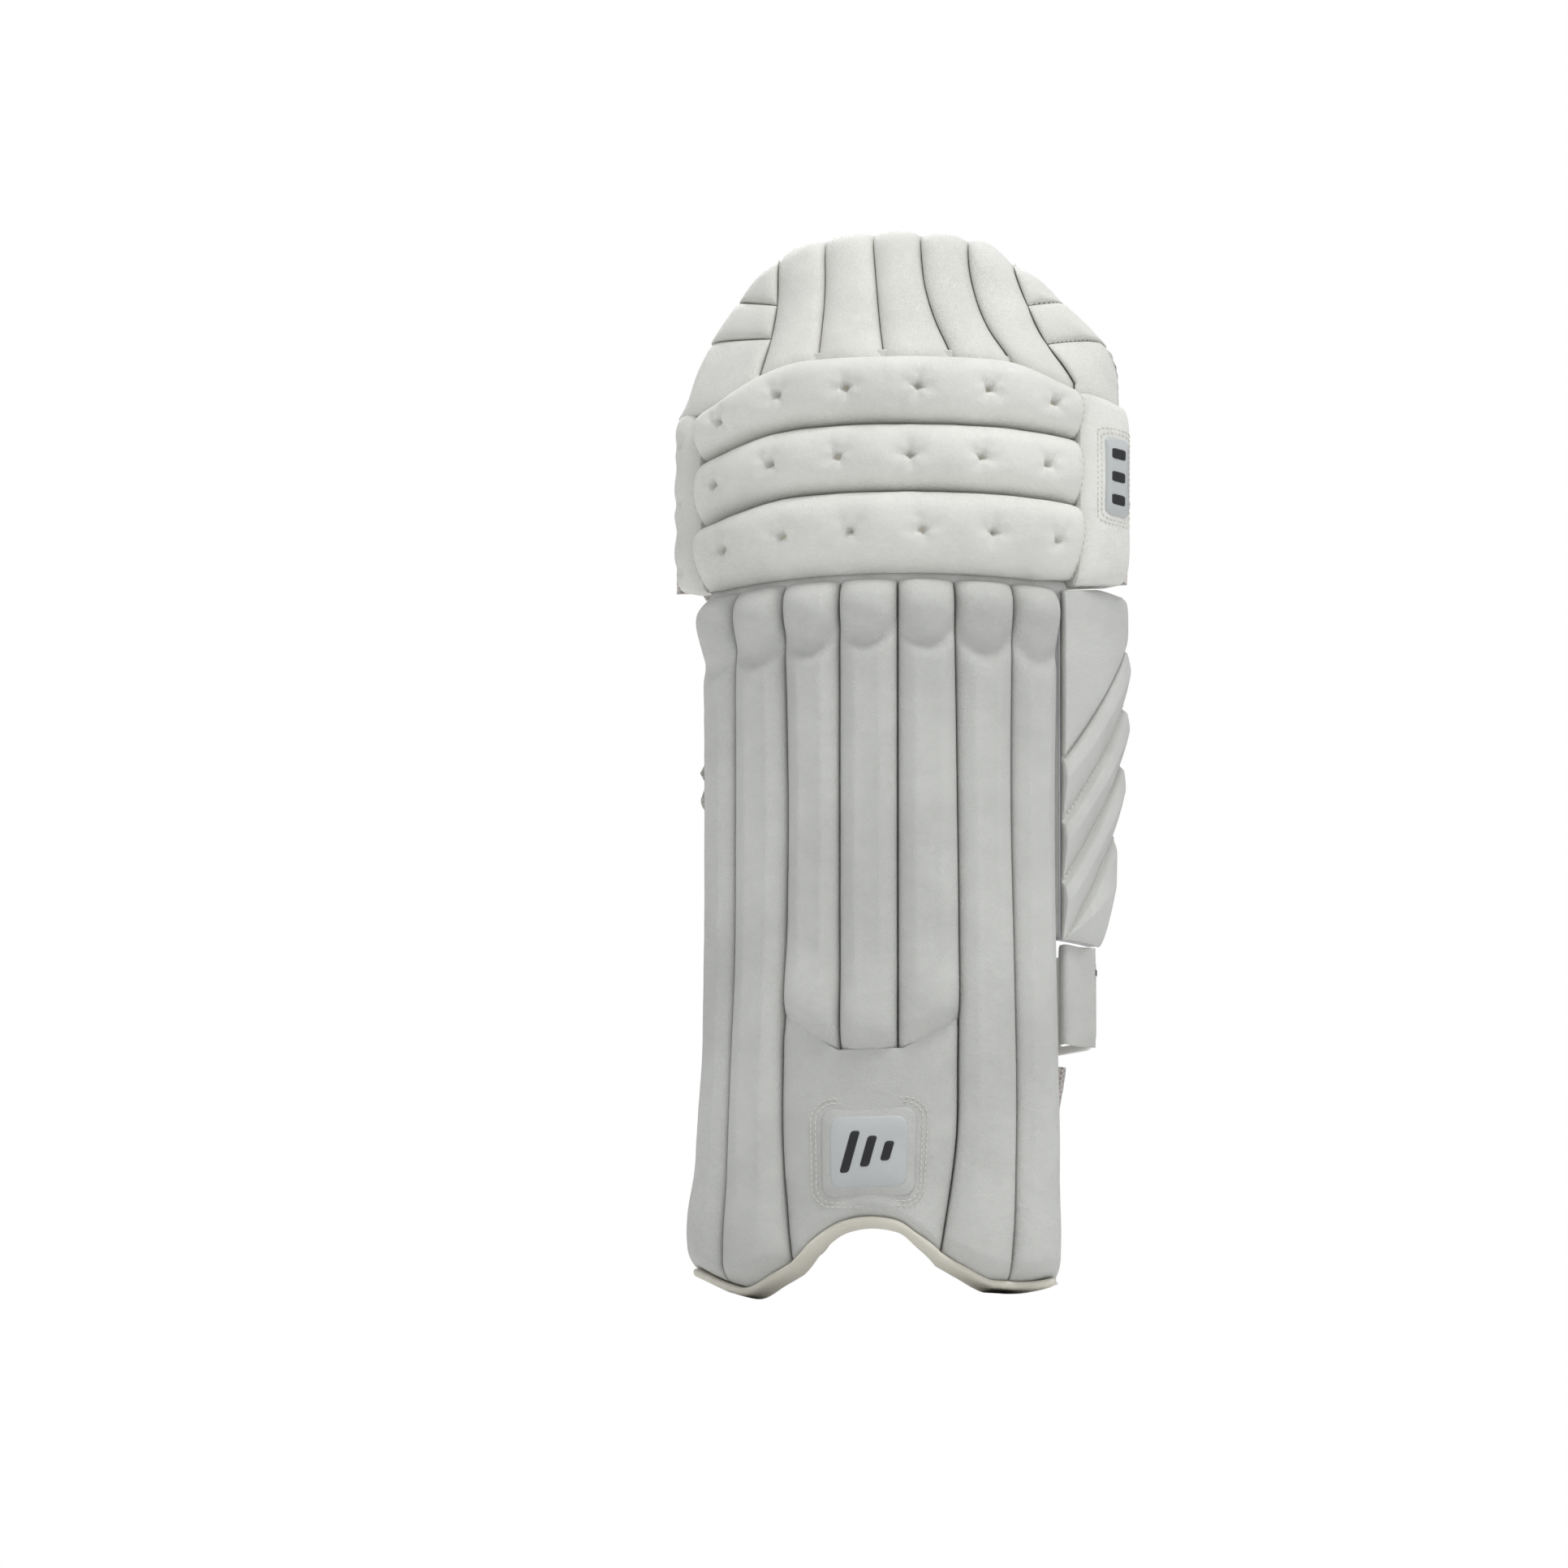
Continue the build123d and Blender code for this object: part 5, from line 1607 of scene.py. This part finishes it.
def level_frame(x, y, z, face_out=1.0):
    """Line, along, across and outward directions of a tab that runs level, from its plan."""
    line = np.stack([x + AXIS_X, y + AXIS_Y, np.full(len(x), float(z))], axis=1)
    way = unit(np.gradient(line, axis=0))
    out = np.stack([way[:, 1], -way[:, 0], 0 * way[:, 0]], axis=1) * face_out
    return line, way, np.tile([0.0, 0.0, 1.0], (len(line), 1)), out


def tab_piece(name, points, pivot, z, width, body, *nodes, face_out=1.0):
    """A webbing tab that runs to its ring's bar, round it and back onto itself."""
    thick = 1.5
    points = [np.array(p, float) for p in points]
    pivot = np.array(pivot, float)
    last = points[-1]
    start = np.degrees(np.arctan2(last[1] - pivot[1], last[0] - pivot[0]))
    turn = np.radians(start + face_out * np.linspace(0, 265, 30))
    radius = 3.3
    arc = [pivot + radius * np.array([np.cos(c), np.sin(c)]) for c in turn]
    before = plan_curve(points, 1.5)
    run = [np.array([a, b]) for a, b in zip(before[0], before[1])]
    path = np.array(run + arc)
    lines = level_frame(path[:, 0], path[:, 1], z, face_out)
    ribbon(name, lines, width, thick, "webbing", body, *nodes)
    ribbon(name + "_stripe", lines, 3.6, 0.5, "black", body, offset=thick / 2 + 0.12, centre=width * 0.36)


def fittings():
    x, y = KNEE_RING
    edge = from_axis(149.0, KNEE_TO + 0.6)
    way = [edge[:2], (x + 5.2, y - 9), (x + 3.2, y)]
    tab_piece("knee_tab", way, KNEE_RING, 484, 26, "knee", "knee_ring_tab")
    ring_piece("knee_strap_ring", 38, 15, KNEE_RING, -14, 484, "knee_ring_body", "knee_ring")
    x, y = CALF_RING
    t = np.radians(77.8)
    edge = np.array([WING_X + 108 * np.sin(t), WING_Y - 108 * np.cos(t)])
    way = [edge, edge + [-3, 3.4], (x + 12, y + 7.5), (x + 1.0, y + 3.3)]
    tab_piece("calf_tab_lower", way, CALF_RING, 352, 28, "wing", "calf_ring_tabs")
    tab_piece("calf_tab_upper", way, CALF_RING, 384, 28, "wing")
    ring_piece("calf_strap_ring", 70, 14, CALF_RING, 84, 368, "calf_ring_body", "calf_ring")
    x, y = ANKLE_RING
    edge = from_axis(139.0, 50.7)
    way = [edge[:2], (116, -83), (x + 2.6, y - 2.2)]
    tab_piece("ankle_tab", way, ANKLE_RING, 185, 47, "shin", "ankle_ring_tab")
    plan = plan_curve([edge[:2], (109, -92), (116, -83.5), (x + 3.5, y - 4.5)], 1.5)
    ribbon("ankle_tab_facing", level_frame(plan[0], plan[1], 185.5), 61, 1.6, "front", "shin",
           slot_name="front_pu", offset=1.6)
    ring_piece("ankle_strap_ring", 60, 26, ANKLE_RING, -32, 185, "ankle_ring_body", "ankle_ring")
    x, y = ANCHOR_RING
    edge = from_axis(138.0, -50.8)
    way = [edge[:2], (-94, -64.5), (x - 10, y + 2.0), (x - 0.5, y + 3.3)]
    tab_piece("anchor_tab", way, ANCHOR_RING, 146, 49, "shin", "ankle_anchor_tab", face_out=-1.0)
    ring_piece("ankle_anchor_frame", 62, ANCHOR_WIDTH, ANCHOR_RING, 182, 146, "anchor_ring_body",
               "ankle_anchor_ring", far=4.0)


# ---------------------------------------------------------------- light, floor, camera
def studio():
    world = bpy.data.worlds.new("studio")
    scene.world = world
    world.use_nodes = True
    tree = world.node_tree
    tree.nodes.clear()

    def new(kind, **values):
        node = tree.nodes.new(kind)
        for key, value in values.items():
            node.inputs[key].default_value = value
        return node

    # soft light that is strongest overhead; plain white behind the pad
    direction = new("ShaderNodeTexCoord")
    split = new("ShaderNodeSeparateXYZ")
    height = new("ShaderNodeMapRange", **{"From Min": -0.5, "From Max": 1.0, "To Min": 0.16, "To Max": 0.95})
    soft = new("ShaderNodeBackground", Color=(0.97, 0.985, 1.0, 1))
    white = new("ShaderNodeBackground", Color=(1, 1, 1, 1), Strength=1.0)
    path = new("ShaderNodeLightPath")
    mix = new("ShaderNodeMixShader")
    output = new("ShaderNodeOutputWorld")
    tree.links.new(direction.outputs["Generated"], split.inputs[0])
    tree.links.new(split.outputs["Z"], height.inputs["Value"])
    tree.links.new(height.outputs[0], soft.inputs["Strength"])
    tree.links.new(path.outputs["Is Camera Ray"], mix.inputs[0])
    tree.links.new(soft.outputs[0], mix.inputs[1])
    tree.links.new(white.outputs[0], mix.inputs[2])
    tree.links.new(mix.outputs[0], output.inputs[0])

    def area(name, location, size, power):
        data = bpy.data.lights.new(name, "AREA")
        data.shape = "DISK"
        data.size = size
        data.energy = power
        lamp = bpy.data.objects.new(name, data)
        lamp.location = location
        way = Vector((0, 0, 0.33)) - Vector(location)  # towards the pad's middle
        lamp.rotation_euler = way.to_track_quat("-Z", "Y").to_euler()
        scene.collection.objects.link(lamp)

    area("key", (0.75, -0.85, 2.7), 0.8, 33)  # place and size in metres, power in watts
    area("fill", (2.0, -0.9, 0.8), 1.2, 5)
    area("left", (-2.2, -1.1, 1.7), 1.2, 4.5)
    area("rear", (-0.5, 1.5, 1.9), 1.1, 13)

    mesh = bpy.data.meshes.new("floor")
    half = 4.0
    corners = [(-half, -half, 0), (half, -half, 0), (half, half, 0), (-half, half, 0)]
    mesh.from_pydata(corners, [], [[0, 1, 2, 3]])
    floor = bpy.data.objects.new("floor", mesh)
    floor.location.z = -0.0002
    scene.collection.objects.link(floor)
    material = bpy.data.materials.new("pale_floor")
    material.use_nodes = True
    tree = material.node_tree
    shader = tree.nodes["Principled BSDF"]
    shader.inputs["Base Color"].default_value = (0.86, 0.86, 0.86, 1)
    shader.inputs["Roughness"].default_value = 0.7
    clear = tree.nodes.new("ShaderNodeBsdfTransparent")
    mix = tree.nodes.new("ShaderNodeMixShader")
    geometry = tree.nodes.new("ShaderNodeNewGeometry")
    tree.links.new(geometry.outputs["Backfacing"], mix.inputs[0])
    tree.links.new(shader.outputs[0], mix.inputs[1])
    tree.links.new(clear.outputs[0], mix.inputs[2])
    tree.links.new(mix.outputs[0], tree.nodes["Material Output"].inputs[0])
    mesh.materials.append(material)


def camera():
    azimuth, elevation = np.radians(9.0), np.radians(-12.0)
    frame_width = 0.937  # metres across the picture at the pad
    distance = 25.0
    right = np.array([np.cos(azimuth), np.sin(azimuth), 0])
    back = np.array([
        np.sin(azimuth) * np.cos(elevation), -np.cos(azimuth) * np.cos(elevation), np.sin(elevation)
    ])
    middle_height, beside = 304.2, 0.0493  # the pad stands a little right of the picture's middle
    target = np.array([AXIS_X, AXIS_Y - CANE_OUT, middle_height]) * MM - right * beside
    data = bpy.data.cameras.new("camera")
    data.sensor_width = 36.0
    data.lens = 36.0 * distance / frame_width
    data.clip_end = 100
    obj = bpy.data.objects.new("camera", data)
    obj.location = target + back * distance
    obj.rotation_euler = Vector(-back).to_track_quat("-Z", "Y").to_euler()
    scene.collection.objects.link(obj)
    scene.camera = obj


def finish_cad_nodes():
    """The material of the one CAD node that stays in view."""
    rods = bpy.data.objects["cane_rods"]
    rods.data.materials.clear()
    rods.data.materials.append(MATERIALS["cane"])


def main():
    scene.view_settings.view_transform = "Standard"
    for build in (
        studio, camera, shin_canes, instep_panel, hem_binding, shin_back, calf_bolsters, shin_trims,
        wing_ridges, wing_lining, wing_edge, knee_rolls, knee_sides, knee_board, knee_cup, knee_flaps,
        knee_trims, top_hat_front, top_hat_back, top_hat_trims, knee_edge_linings, gussets, straps, fittings,
    ):
        build()
    shin_threads.piece("shin_stitching", "shin")
    wing_threads.piece("wing_stitching", "wing")
    knee_threads.piece("knee_stitching", "knee")
    hat_threads.piece("hat_stitching", "top_hat")
    finish_cad_nodes()


main()
